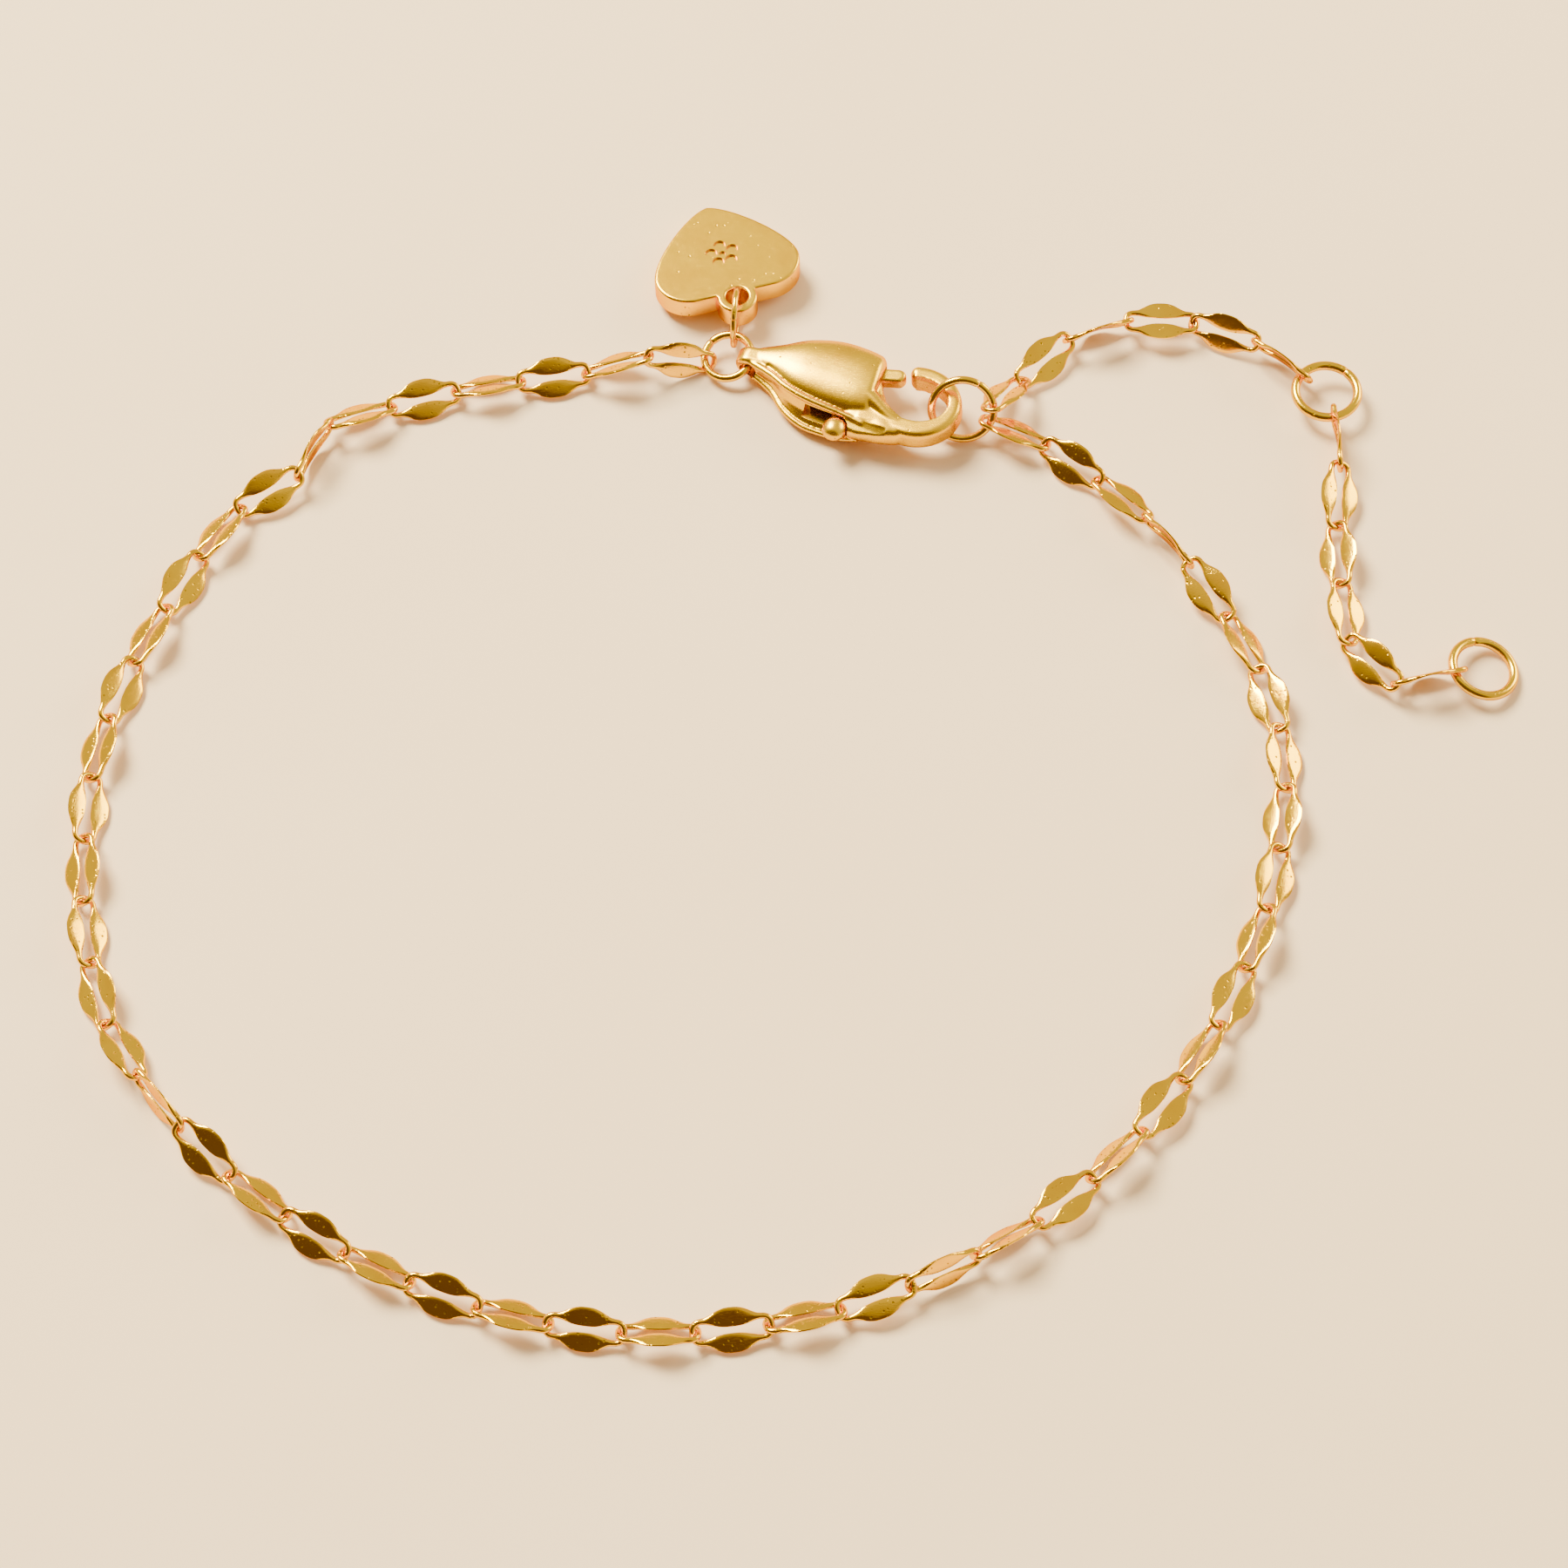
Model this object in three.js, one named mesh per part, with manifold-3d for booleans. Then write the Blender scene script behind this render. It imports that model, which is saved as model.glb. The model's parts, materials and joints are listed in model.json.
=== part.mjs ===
// Chain bracelet of sequin links with a lobster clasp, an extension chain and a heart charm.
// Millimetres, +Z up. It lies open on a table, clasp fastened, seen from above and the front.
import * as THREE from 'three';
import { mergeVertices } from 'three/addons/utils/BufferGeometryUtils.js';
import Module from 'manifold-3d';

const wasm = await Module();
wasm.setup();

// Driving dimensions

// A link is a wire loop whose two long sides are rolled flat into leaves.
const LINK_PITCH = 3.3;
const LINK_WIRE = 0.28;
const LINK_END_RADIUS = 0.48;
const LEAF_LENGTH = 2.34;
const LEAF_WIDTH = 0.86;
const LEAF_THICKNESS = 0.16;
const LEAF_OFFSET = 0.57;
const LINK_SOLDER = 0.06;
const WIRE_SIDES = 6;
const LINK_END_STEPS = 2;
const LINK_END_SWEEP = 62;
const LINK_CORNER_REACH = 1.1;
const WELD = 1e-5;

// Half a leaf from its middle to its root: place as a share of the half length, fullness from 0 to 1.
const LEAF_STATIONS = [
  { along: 0.38, full: 0.97 },
  { along: 1, full: 0 },
];

// Jump rings
const CLASP_RING_RADIUS = 1.2;
const CLASP_RING_WIRE = 0.4;
const HOOK_RING_RADIUS = 1.55;
const HOOK_RING_WIRE = 0.4;
const PLAIN_RING_RADIUS = 1.55;
const PLAIN_RING_WIRE = 0.46;
const CHARM_RING_RADIUS = 1.4;
const CHARM_RING_WIRE = 0.3;
const RING_STEPS = 14;
const RING_GAP = 0.14;
const FLOOR_GAP = 0.02;

// Lobster clasp, drawn in its own frame: x from the eye to the hook, y to the far side
const CLASP_PLACE = { x: -2.74, y: 21.67 };
const CLASP_HEADING = -17.5;
const CLASP_PITCH = 3.2;
const EYE_HEIGHT = 0.9;
const EYE_X = 0.16;
const EYE_BORE = 0.44;
const CLASP_RING_LEAN = 12;
const CLASP_RING_DROOP = 4;
const HOOK_RING_X = 11.25;
const HOOK_RING_LEAN = 55;
const HOOK_RING_TURN = 14;
const LUG_WALL = 0.26;
const LUG_LENGTH = 1.7;
const LUG_WIDTH = 1.0;
const LUG_HEIGHT = 1.36;
const LUG_ROUND = 0.2;
const SECTION_POINTS = 14;
const DOME_FULLNESS = 2.8;
const RIM_FULLNESS = 2.4;
const HOOK_THICKNESS = 1.3;
const HOOK_ROUND = 0.18;
const HOOK_STEPS = 6;
const HOOK_ROOT_X = 6.3;
const HOOK_OUTER = { x: 9.0, y: -0.49, radiusX: 2.3, radiusY: 2.12, from: 107, to: -118 };
const HOOK_INNER = { x: 8.95, y: -0.4, radiusX: 1.62, radiusY: 1.25, from: -166, to: 112 };

// Sections across the clasp, from the eye to the end of the housing: near and far side, half height
const RIM_SECTIONS = [
  { x: 0.7, near: -0.62, far: 0.5, rise: 0.42 },
  { x: 1.6, near: -1.2, far: 0.85, rise: 0.58 },
  { x: 2.5, near: -2.2, far: 1.25, rise: 0.68 },
  { x: 3.6, near: -2.82, far: 1.6, rise: 0.7 },
  { x: 5.0, near: -3.02, far: 1.76, rise: 0.7 },
  { x: 6.4, near: -3.04, far: 1.55, rise: 0.7 },
  { x: 7.1, near: -2.94, far: 0.2, rise: 0.66 },
  { x: 7.9, near: -2.66, far: -1.35, rise: 0.62 },
];
const DOME_SECTIONS = [
  { x: 0.35, near: -0.45, far: 0.42, rise: 0.66 },
  { x: 1.6, near: -0.9, far: 0.84, rise: 0.86 },
  { x: 2.9, near: -1.55, far: 1.48, rise: 1.02 },
  { x: 4.5, near: -1.78, far: 1.84, rise: 1.1 },
  { x: 6.0, near: -1.72, far: 1.68, rise: 1.08 },
  { x: 6.95, near: -1.5, far: 1.36, rise: 0.98 },
];

// Sprung lever inside the clasp: a bell crank with the gate on one arm and the thumb knob on the other
const PIVOT = { x: 5.3, y: 0.45 };
const PIVOT_RADIUS = 0.3;
const PIVOT_GAP = 0.1;
const LEVER_HUB_RADIUS = 0.75;
const LEVER_THICKNESS = 0.9;
const LEVER_GAP = 0.09;
const LEVER_ROUND = 0.1;
const LEVER_SWING = 24;
const GATE_HEADING = 10.8;
const GATE_LENGTH = 2.8;
const GATE_WIDTH = 0.8;
const KNOB_HEADING = -86.8;
const KNOB_REACH = 3.45;
const KNOB_RADIUS = 0.56;
const KNOB_ARM_WIDTH = 0.7;
const SLOT_REACH = 4.6;
const SLOT_BULGE = 1.05;
const HUB_SIDES = 16;
const BORE_SIDES = 12;
const PIN_SIDES = 10;
const ARM_TIP_STEPS = 4;
const KNOB_SIDES = 12;
const KNOB_RINGS = 8;

// Heart charm, drawn from its hole, tip along +y
const HEART_HEADING = 105.5;
const HEART_TILT = 4.4;
const HEART_HALF_WIDTH = 3.76;
const HEART_TIP = 6.07;
const HEART_WAIST = 1.95;
const HEART_LOBE_X = 2.0;
const HEART_LOBE_END = 0.24;
const HEART_THICKNESS = 1.25;
const HEART_EDGE = 0.14;
const EYELET_RADIUS = 1.02;
const EYELET_HOLE = 0.55;
const HEART_STEPS = 8;
const HEART_SIDE_PULL = 0.32;
const HEART_TIP_PULL = 0.29;
const CHARM_RING_HEADING = 85;
const CHARM_RING_TO_HOLE = 1.13;
const CHARM_RING_TO_WIRE = 0.7;

// Where a chain's end link holds its ring, in degrees round the ring, and how steeply it leaves it
const CHAIN_START = { angle: 205, rise: 14 };
const CHAIN_END = { angle: -26, rise: -7 };
const EXTENSION_START = { angle: 8, rise: -21 };
const OUTER_START = { angle: -38, rise: 0 };

// How finely a route is sampled, and how far a loop may swell or shrink to close
const ROUTE_SAMPLES = 24;
const SWELL = { least: 0.6, most: 1.6, rounds: 40 };

// Routes of the chains over the table, chosen by eye
const MAIN_ROUTE = [
  { x: -11.3, y: 21.0 }, { x: -18.2, y: 19.7 }, { x: -23.6, y: 17.5 }, { x: -24.8, y: 14.7 },
  { x: -27.5, y: 13.1 }, { x: -29.2, y: 10.4 },
  { x: -33.0, y: 1.4 }, { x: -33.6, y: -6.2 }, { x: -31.9, y: -14.6 }, { x: -26.9, y: -21.2 },
  { x: -18.9, y: -26.8 }, { x: -9.3, y: -29.7 }, { x: 0.6, y: -29.0 }, { x: 9.7, y: -25.1 },
  { x: 16.8, y: -18.3 }, { x: 21.4, y: -9.4 }, { x: 22.8, y: 0.0 }, { x: 20.7, y: 6.6 },
  { x: 16.8, y: 12.3 }, { x: 12.3, y: 16.6 },
];
const INNER_ROUTE = [
  { x: 11.3, y: 21.0 }, { x: 14.3, y: 23.4 }, { x: 17.6, y: 24.1 }, { x: 21.0, y: 23.6 },
  { x: 23.9, y: 21.9 }, { x: 27.0, y: 18.6 },
];
const OUTER_ROUTE = [
  { x: 26.6, y: 14.6 }, { x: 26.2, y: 11.1 }, { x: 26.4, y: 7.6 }, { x: 26.7, y: 4.4 },
  { x: 28.6, y: 2.9 }, { x: 32.2, y: 3.8 }, { x: 36, y: 5.0 },
];

// Roll of the links about the chain: lean plus drift a link, with neighbours swung either side of it
const MAIN_ROLLS = [
  { links: 1, lean: -64, drift: 0, swing: 0 },
  { links: 5, lean: 0, drift: 0, swing: 30 },
  { links: 1, lean: 85, drift: 0, swing: 0 },
  { links: 11, lean: 0, drift: 0, swing: -30 },
  { links: 1, lean: 77, drift: 0, swing: 0 },
  { links: 10, lean: 0, drift: 0, swing: 30 },
  { links: 1, lean: 18, drift: 0, swing: 0 },
  { links: 1, lean: 70, drift: 0, swing: 0 },
  { links: 13, lean: -22, drift: 2.4, swing: -28 },
  { links: 1, lean: 75, drift: 0, swing: 0 },
  { links: 3, lean: -8, drift: 3, swing: 30 },
];
const INNER_ROLLS = [
  { links: 1, lean: -23, drift: 0, swing: 0 },
  { links: 2, lean: -13, drift: 0, swing: 48 },
  { links: 1, lean: 5, drift: 0, swing: 0 },
  { links: 1, lean: 58, drift: 0, swing: 0 },
  { links: 1, lean: -68, drift: 0, swing: 0 },
];
const OUTER_ROLLS = [
  { links: 1, lean: -85, drift: 0, swing: 0 },
  { links: 4, lean: 4, drift: 1, swing: -29 },
  { links: 1, lean: -62, drift: 0, swing: 0 },
];

// Finish
const GOLD = 0xe3b04b;
const PALE_GOLD = 0xedc368;
const UP = new THREE.Vector3(0, 0, 1);
const radians = THREE.MathUtils.degToRad;

function gold(colour, roughness) {
  return new THREE.MeshStandardMaterial({ color: colour, metalness: 1, roughness });
}

function solid(geometry) {
  const bare = geometry.index ? geometry.toNonIndexed() : geometry.clone();
  bare.deleteAttribute('normal');
  bare.deleteAttribute('uv');
  const merged = mergeVertices(bare, WELD);
  return new wasm.Manifold(new wasm.Mesh({
    numProp: 3,
    vertProperties: new Float32Array(merged.attributes.position.array),
    triVerts: new Uint32Array(merged.index.array),
  }));
}

function geometryOf(manifold) {
  const mesh = manifold.getMesh();
  const geometry = new THREE.BufferGeometry();
  geometry.setAttribute('position', new THREE.BufferAttribute(mesh.vertProperties, 3));
  geometry.setIndex(new THREE.BufferAttribute(mesh.triVerts, 1));
  geometry.computeVertexNormals();
  return geometry;
}

function meshOf(name, manifold, material) {
  const mesh = new THREE.Mesh(geometryOf(manifold), material);
  mesh.name = name;
  return mesh;
}

// A plate of the given outline, centred on z = 0, with its edges rounded inside the outline
function plate(shape, thickness, round, roundHeight, steps, curveSegments = HEART_STEPS) {
  const geometry = new THREE.ExtrudeGeometry(shape, {
    depth: thickness - 2 * roundHeight,
    bevelEnabled: round > 0,
    bevelSize: round,
    bevelOffset: -round,
    bevelThickness: roundHeight,
    bevelSegments: steps,
    curveSegments,
  });
  return geometry.translate(0, 0, roundHeight - thickness / 2);
}

// Skins rows of points that run anticlockwise about the way from row to row
function skinned(rows, closed) {
  const sides = rows[0].length;
  const index = [];
  const lastRow = closed ? rows.length : rows.length - 1;
  for (let row = 0; row < lastRow; row += 1) {
    for (let side = 0; side < sides; side += 1) {
      const a = row * sides + side;
      const b = row * sides + ((side + 1) % sides);
      const next = (row + 1) % rows.length;
      const c = next * sides + side;
      const d = next * sides + ((side + 1) % sides);
      index.push(a, b, c, b, d, c);
    }
  }
  const end = (rows.length - 1) * sides;
  for (let side = 1; side < sides - 1 && !closed; side += 1) {
    index.push(0, side + 1, side, end, end + side, end + side + 1);
  }
  const positions = rows.flat().flatMap((point) => [point.x, point.y, point.z]);
  const geometry = new THREE.BufferGeometry();
  geometry.setAttribute('position', new THREE.Float32BufferAttribute(positions, 3));
  geometry.setIndex(index);
  return geometry;
}

// A body lofted along x through sections that are rounded boxes, boxier as fullness grows
function lofted(sections, fullness) {
  const rows = sections.map(({ x, near, far, rise }) => {
    const row = [];
    for (let step = 0; step < SECTION_POINTS; step += 1) {
      const angle = (2 * Math.PI * step) / SECTION_POINTS;
      const across = Math.sign(Math.cos(angle)) * Math.abs(Math.cos(angle)) ** (2 / fullness);
      const up = Math.sign(Math.sin(angle)) * Math.abs(Math.sin(angle)) ** (2 / fullness);
      const y = (near + far) / 2 + ((far - near) / 2) * across;
      row.push(new THREE.Vector3(x, y, rise * up));
    }
    return row;
  });
  return solid(skinned(rows, false));
}

// Link

function linkStations() {
  const endCentre = (LINK_PITCH + LINK_WIRE - LINK_SOLDER) / 2 - LINK_END_RADIUS;
  const stations = [];
  for (let step = -LINK_END_STEPS + 1; step < LINK_END_STEPS; step += 1) {
    const angle = radians((LINK_END_SWEEP * step) / (LINK_END_STEPS - 1));
    const outward = new THREE.Vector3(Math.cos(angle), Math.sin(angle), 0);
    const reach = LINK_END_RADIUS * (step === 0 ? 1 : LINK_CORNER_REACH);
    const centre = outward.clone().multiplyScalar(reach);
    centre.x += endCentre;
    stations.push({ centre, outward, full: 0 });
  }
  const half = [...LEAF_STATIONS].reverse();
  const side = [...half, ...LEAF_STATIONS.map((row) => ({ along: -row.along, full: row.full }))];
  for (const row of side) {
    const across = LINK_END_RADIUS + (LEAF_OFFSET - LINK_END_RADIUS) * row.full;
    const centre = new THREE.Vector3((row.along * LEAF_LENGTH) / 2, across, 0);
    stations.push({ centre, outward: new THREE.Vector3(0, 1, 0), full: row.full });
  }
  const turned = stations.map((station) => ({
    centre: station.centre.clone().multiplyScalar(-1),
    outward: station.outward.clone().multiplyScalar(-1),
    full: station.full,
  }));
  return [...stations, ...turned];
}

function linkGeometry() {
  const rows = linkStations().map(({ centre, outward, full }) => {
    const wide = (LINK_WIRE + (LEAF_WIDTH - LINK_WIRE) * full) / 2;
    const thick = (LINK_WIRE + (LEAF_THICKNESS - LINK_WIRE) * full) / 2;
    const row = [];
    for (let side = 0; side < WIRE_SIDES; side += 1) {
      const angle = (2 * Math.PI * side) / WIRE_SIDES;
      const point = centre.clone().addScaledVector(outward, wide * Math.cos(angle));
      row.push(point.addScaledVector(UP, -thick * Math.sin(angle)));
    }
    return row;
  });
  return skinned(rows, true);
}

// Chain runs

function linkRolls(rows) {
  const rolls = [];
  for (const { links, lean, drift, swing } of rows) {
    for (let count = 0; count < links; count += 1) {
      rolls.push(lean + drift * count + (count % 2 ? -swing : swing));
    }
  }
  return rolls;
}

// Height of a link's middle when its lower leaf lies on the table
function restingHeight(roll) {
  const halfWidth = LEAF_OFFSET + LEAF_WIDTH / 2;
  const half = LEAF_THICKNESS / 2;
  const angle = radians(roll);
  return FLOOR_GAP + halfWidth * Math.abs(Math.sin(angle)) + half * Math.abs(Math.cos(angle));
}

// Heights of the joints between links, from the fixed first height to the last one, if that is fixed too
function jointHeights(rolls, first, last) {
  const rest = rolls.map(restingHeight);
  const heights = [first];
  for (let count = 1; count < rolls.length; count += 1) {
    heights.push(Math.max(rest[count - 1], rest[count]));
  }
  heights.push(last ?? rest[rest.length - 1]);
  heights[1] = Math.max(heights[1], 2 * rest[0] - first);
  return heights;
}

// Walks the route in link pitches and returns the joints, with how far past its end the chain runs
function walk(route, heights) {
  const curve = new THREE.CatmullRomCurve3(route, false, 'centripetal');
  const line = curve.getPoints(route.length * ROUTE_SAMPLES);
  const joints = [line[0].clone().setZ(heights[0])];
  let segment = 0;
  for (let count = 1; count < heights.length; count += 1) {
    const from = joints[count - 1].clone().setZ(0);
    const rise = heights[count] - heights[count - 1];
    const step = Math.sqrt(LINK_PITCH ** 2 - rise ** 2);
    while (segment < line.length - 2 && line[segment + 1].distanceTo(from) < step) {
      segment += 1;
    }
    const start = line[segment];
    const along = line[segment + 1].clone().sub(start);
    const offset = start.clone().sub(from);
    const a = along.lengthSq();
    const b = offset.dot(along);
    const c = offset.lengthSq() - step ** 2;
    const share = (-b + Math.sqrt(Math.max(b * b - a * c, 0))) / a;
    joints.push(start.clone().addScaledVector(along, share).setZ(heights[count]));
  }
  const last = joints[joints.length - 1].clone().setZ(0);
  const end = line[line.length - 1];
  const tangent = end.clone().sub(line[line.length - 2]).normalize();
  return { joints, past: last.sub(end).dot(tangent) };
}

// Swells or shrinks a route away from the straight line between its ends
function swollen(route, factor) {
  const first = route[0];
  const last = route[route.length - 1];
  return route.map((point, index) => {
    const base = first.clone().lerp(last, index / (route.length - 1));
    return point.clone().sub(base).multiplyScalar(factor).add(base);
  });
}

// Joints of a chain held at both ends: the loop swells until a whole number of links closes it
function heldJoints(start, route, end, rolls) {
  const flat = [start, ...route.map(({ x, y }) => new THREE.Vector3(x, y, 0)), end];
  const points = flat.map((point) => point.clone().setZ(0));
  const heights = jointHeights(rolls, start.z, end.z);
  let low = SWELL.least;
  let high = SWELL.most;
  for (let round = 0; round < SWELL.rounds; round += 1) {
    const middle = (low + high) / 2;
    if (walk(swollen(points, middle), heights).past > 0) {
      low = middle;
    } else {
      high = middle;
    }
  }
  const { joints } = walk(swollen(points, (low + high) / 2), heights);
  joints[joints.length - 1].copy(end);
  return joints;
}

function freeJoints(start, route, rolls) {
  const flat = [start, ...route.map(({ x, y }) => new THREE.Vector3(x, y, 0))];
  const points = flat.map((point) => point.clone().setZ(0));
  return walk(points, jointHeights(rolls, start.z)).joints;
}

// Places one link between two joints, rolled about the line that joins them
function linkMatrix(from, to, roll) {
  const along = to.clone().sub(from).normalize();
  const left = UP.clone().cross(along).normalize();
  const across = left.applyAxisAngle(along, radians(roll));
  const out = along.clone().cross(across);
  const middle = from.clone().add(to).multiplyScalar(0.5);
  return new THREE.Matrix4().makeBasis(along, across, out).setPosition(middle);
}

function chainOf(joints, rolls) {
  const link = solid(linkGeometry());
  let chain = null;
  rolls.forEach((roll, index) => {
    const matrix = linkMatrix(joints[index], joints[index + 1], roll);
    const placed = link.transform(matrix.elements);
    chain = chain ? chain.add(placed) : placed;
  });
  return chain;
}

// Rings

function ringMesh(name, radius, wire) {
  const torus = new THREE.TorusGeometry(radius, wire / 2, WIRE_SIDES, RING_STEPS);
  return meshOf(name, solid(torus), gold(PALE_GOLD, 0.2));
}

// End joint of a chain: its link's end wire lies behind the ring's wire, seen from the chain
function seatOnRing(ring, radius, wire, seat, towards) {
  const angle = radians(seat.angle);
  const point = new THREE.Vector3(radius * Math.cos(angle), radius * Math.sin(angle), 0);
  ring.updateWorldMatrix(true, false);
  ring.localToWorld(point);
  const pull = new THREE.Vector3(towards.x - point.x, towards.y - point.y, 0).normalize();
  pull.setZ(Math.tan(radians(seat.rise))).normalize();
  return point.addScaledVector(pull, -wire / 2 - RING_GAP);
}

// A plain ring that lies on the table beyond the end of a chain
function ringAfter(name, joint, before, farHeight) {
  const ring = ringMesh(name, PLAIN_RING_RADIUS, PLAIN_RING_WIRE);
  const heading = Math.atan2(joint.y - before.y, joint.x - before.x);
  const slope = Math.asin((farHeight - joint.z) / (2 * PLAIN_RING_RADIUS));
  ring.rotation.set(0, -slope, heading, 'ZYX');
  const forward = new THREE.Vector3(PLAIN_RING_RADIUS, 0, 0).applyEuler(ring.rotation);
  const back = before.clone().sub(joint).normalize();
  ring.position.copy(joint).addScaledVector(back, PLAIN_RING_WIRE / 2 + RING_GAP).add(forward);
  return ring;
}

// Lobster clasp

function lugSolid() {
  const start = EYE_X - EYE_BORE - LUG_WALL;
  const shape = new THREE.Shape();
  const half = LUG_WIDTH / 2;
  shape.moveTo(start + LUG_ROUND, -half);
  shape.lineTo(start + LUG_LENGTH, -half);
  shape.lineTo(start + LUG_LENGTH, half);
  shape.lineTo(start + LUG_ROUND, half);
  shape.lineTo(start, half - LUG_ROUND);
  shape.lineTo(start, LUG_ROUND - half);
  shape.closePath();
  return solid(plate(shape, LUG_HEIGHT, LUG_ROUND, LUG_ROUND, 1));
}

function hookSolid() {
  const shape = new THREE.Shape();
  const { from, to } = HOOK_OUTER;
  shape.absellipse(HOOK_OUTER.x, HOOK_OUTER.y, HOOK_OUTER.radiusX, HOOK_OUTER.radiusY,
    radians(from), radians(to), true);
  shape.lineTo(HOOK_ROOT_X, HOOK_OUTER.y - HOOK_OUTER.radiusY + HOOK_THICKNESS / 2);
  shape.lineTo(HOOK_ROOT_X, HOOK_INNER.y - HOOK_INNER.radiusY);
  shape.absellipse(HOOK_INNER.x, HOOK_INNER.y, HOOK_INNER.radiusX, HOOK_INNER.radiusY,
    radians(HOOK_INNER.from), radians(HOOK_INNER.to), false);
  shape.closePath();
  return solid(plate(shape, HOOK_THICKNESS, HOOK_ROUND, HOOK_ROUND, 1, HOOK_STEPS));
}

function eyeBore(tilt) {
  const bore = new THREE.CylinderGeometry(EYE_BORE, EYE_BORE, 4 * LUG_WIDTH, BORE_SIDES);
  return solid(bore.rotateX(tilt).translate(EYE_X, 0, 0));
}

// Straight-sided wedge swept by an arm of the lever between its two limits
function sweptArm(heading, width) {
  const half = width / 2 + LEVER_GAP;
  const closed = radians(heading);
  const open = radians(heading - LEVER_SWING);
  const corner = (angle, along, side) => new THREE.Vector2(
    PIVOT.x + along * Math.cos(angle) - side * Math.sin(angle),
    PIVOT.y + along * Math.sin(angle) + side * Math.cos(angle),
  );
  const middle = (closed + open) / 2;
  const shape = new THREE.Shape([
    corner(open, 0, -half), corner(open, SLOT_REACH, -half), corner(middle, SLOT_REACH * SLOT_BULGE, 0),
    corner(closed, SLOT_REACH, half), corner(closed, 0, half),
  ]);
  return solid(plate(shape, LEVER_THICKNESS + 2 * LEVER_GAP, 0, 0, 1));
}

function disc(radius, thickness, sides) {
  const geometry = new THREE.CylinderGeometry(radius, radius, thickness, sides);
  return solid(geometry.rotateX(Math.PI / 2).translate(PIVOT.x, PIVOT.y, 0));
}

// Room for the lever inside the clasp; the hook is added after it, so its tip stays whole
function slotSolid() {
  const height = LEVER_THICKNESS + 2 * LEVER_GAP;
  const hub = disc(LEVER_HUB_RADIUS + LEVER_GAP, height, HUB_SIDES);
  return hub.add(sweptArm(GATE_HEADING, GATE_WIDTH)).add(sweptArm(KNOB_HEADING, 2 * KNOB_RADIUS));
}

function claspBody(ringLean) {
  const dome = lofted(DOME_SECTIONS, DOME_FULLNESS);
  const housing = lofted(RIM_SECTIONS, RIM_FULLNESS).add(dome).subtract(slotSolid());
  const pin = disc(PIVOT_RADIUS, LEVER_THICKNESS + 4 * LEVER_GAP, PIN_SIDES);
  const body = housing.add(pin).add(lugSolid()).add(hookSolid());
  return body.subtract(eyeBore(ringLean));
}

function bar(heading, length, width) {
  const half = width / 2;
  const shape = new THREE.Shape();
  shape.moveTo(0, -half);
  shape.lineTo(length - half, -half);
  shape.absarc(length - half, 0, half, -Math.PI / 2, Math.PI / 2, false);
  shape.lineTo(0, half);
  shape.closePath();
  const geometry = plate(shape, LEVER_THICKNESS, LEVER_ROUND, LEVER_ROUND, 1, ARM_TIP_STEPS);
  return solid(geometry.rotateZ(radians(heading)).translate(PIVOT.x, PIVOT.y, 0));
}

function claspLever() {
  const heading = radians(KNOB_HEADING);
  const knob = new THREE.SphereGeometry(KNOB_RADIUS, KNOB_SIDES, KNOB_RINGS);
  knob.translate(PIVOT.x + KNOB_REACH * Math.cos(heading), PIVOT.y + KNOB_REACH * Math.sin(heading), 0);
  const hub = disc(LEVER_HUB_RADIUS, LEVER_THICKNESS, HUB_SIDES);
  const arms = hub.add(bar(GATE_HEADING, GATE_LENGTH, GATE_WIDTH)).add(
    bar(KNOB_HEADING, KNOB_REACH, KNOB_ARM_WIDTH),
  );
  return arms.add(solid(knob)).subtract(disc(PIVOT_RADIUS + PIVOT_GAP, 2 * LEVER_THICKNESS, BORE_SIDES));
}

// Heart charm

function heartShape() {
  const lobeHeight = HEART_WAIST - HEART_LOBE_END;
  const lobeWidth = HEART_HALF_WIDTH - HEART_LOBE_X;
  const pull = (HEART_TIP - HEART_WAIST) * HEART_SIDE_PULL;
  const tipPull = HEART_HALF_WIDTH * HEART_TIP_PULL;
  const neck = Math.acos(HEART_LOBE_END / EYELET_RADIUS);
  const shape = new THREE.Shape();
  shape.moveTo(0, HEART_TIP);
  shape.bezierCurveTo(-tipPull, HEART_TIP - HEART_EDGE, -HEART_HALF_WIDTH, HEART_WAIST + pull,
    -HEART_HALF_WIDTH, HEART_WAIST);
  shape.absellipse(-HEART_LOBE_X, HEART_WAIST, lobeWidth, lobeHeight, Math.PI, 1.5 * Math.PI, false);
  shape.absarc(0, 0, EYELET_RADIUS, Math.PI / 2 + neck, Math.PI / 2 - neck, false);
  shape.absellipse(HEART_LOBE_X, HEART_WAIST, lobeWidth, lobeHeight, 1.5 * Math.PI, 2 * Math.PI, false);
  shape.bezierCurveTo(HEART_HALF_WIDTH, HEART_WAIST + pull, tipPull, HEART_TIP - HEART_EDGE, 0, HEART_TIP);
  const hole = new THREE.Path();
  hole.absarc(0, 0, EYELET_HOLE + HEART_EDGE, 0, 2 * Math.PI, true);
  shape.holes.push(hole);
  return shape;
}

function heartCharm() {
  const geometry = plate(heartShape(), HEART_THICKNESS, HEART_EDGE, HEART_EDGE, 1, HEART_STEPS);
  return solid(geometry.translate(0, 0, HEART_THICKNESS / 2));
}

// Assembly

const bracelet = new THREE.Group();

const clasp = new THREE.Group();
clasp.position.set(CLASP_PLACE.x, CLASP_PLACE.y, EYE_HEIGHT);
clasp.rotation.set(0, -radians(CLASP_PITCH), radians(CLASP_HEADING), 'ZYX');
bracelet.add(clasp);

clasp.add(meshOf('clasp_body', claspBody(radians(CLASP_RING_LEAN)), gold(GOLD, 0.22)));
clasp.add(meshOf('clasp_lever', claspLever(), gold(GOLD, 0.22)));

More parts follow.
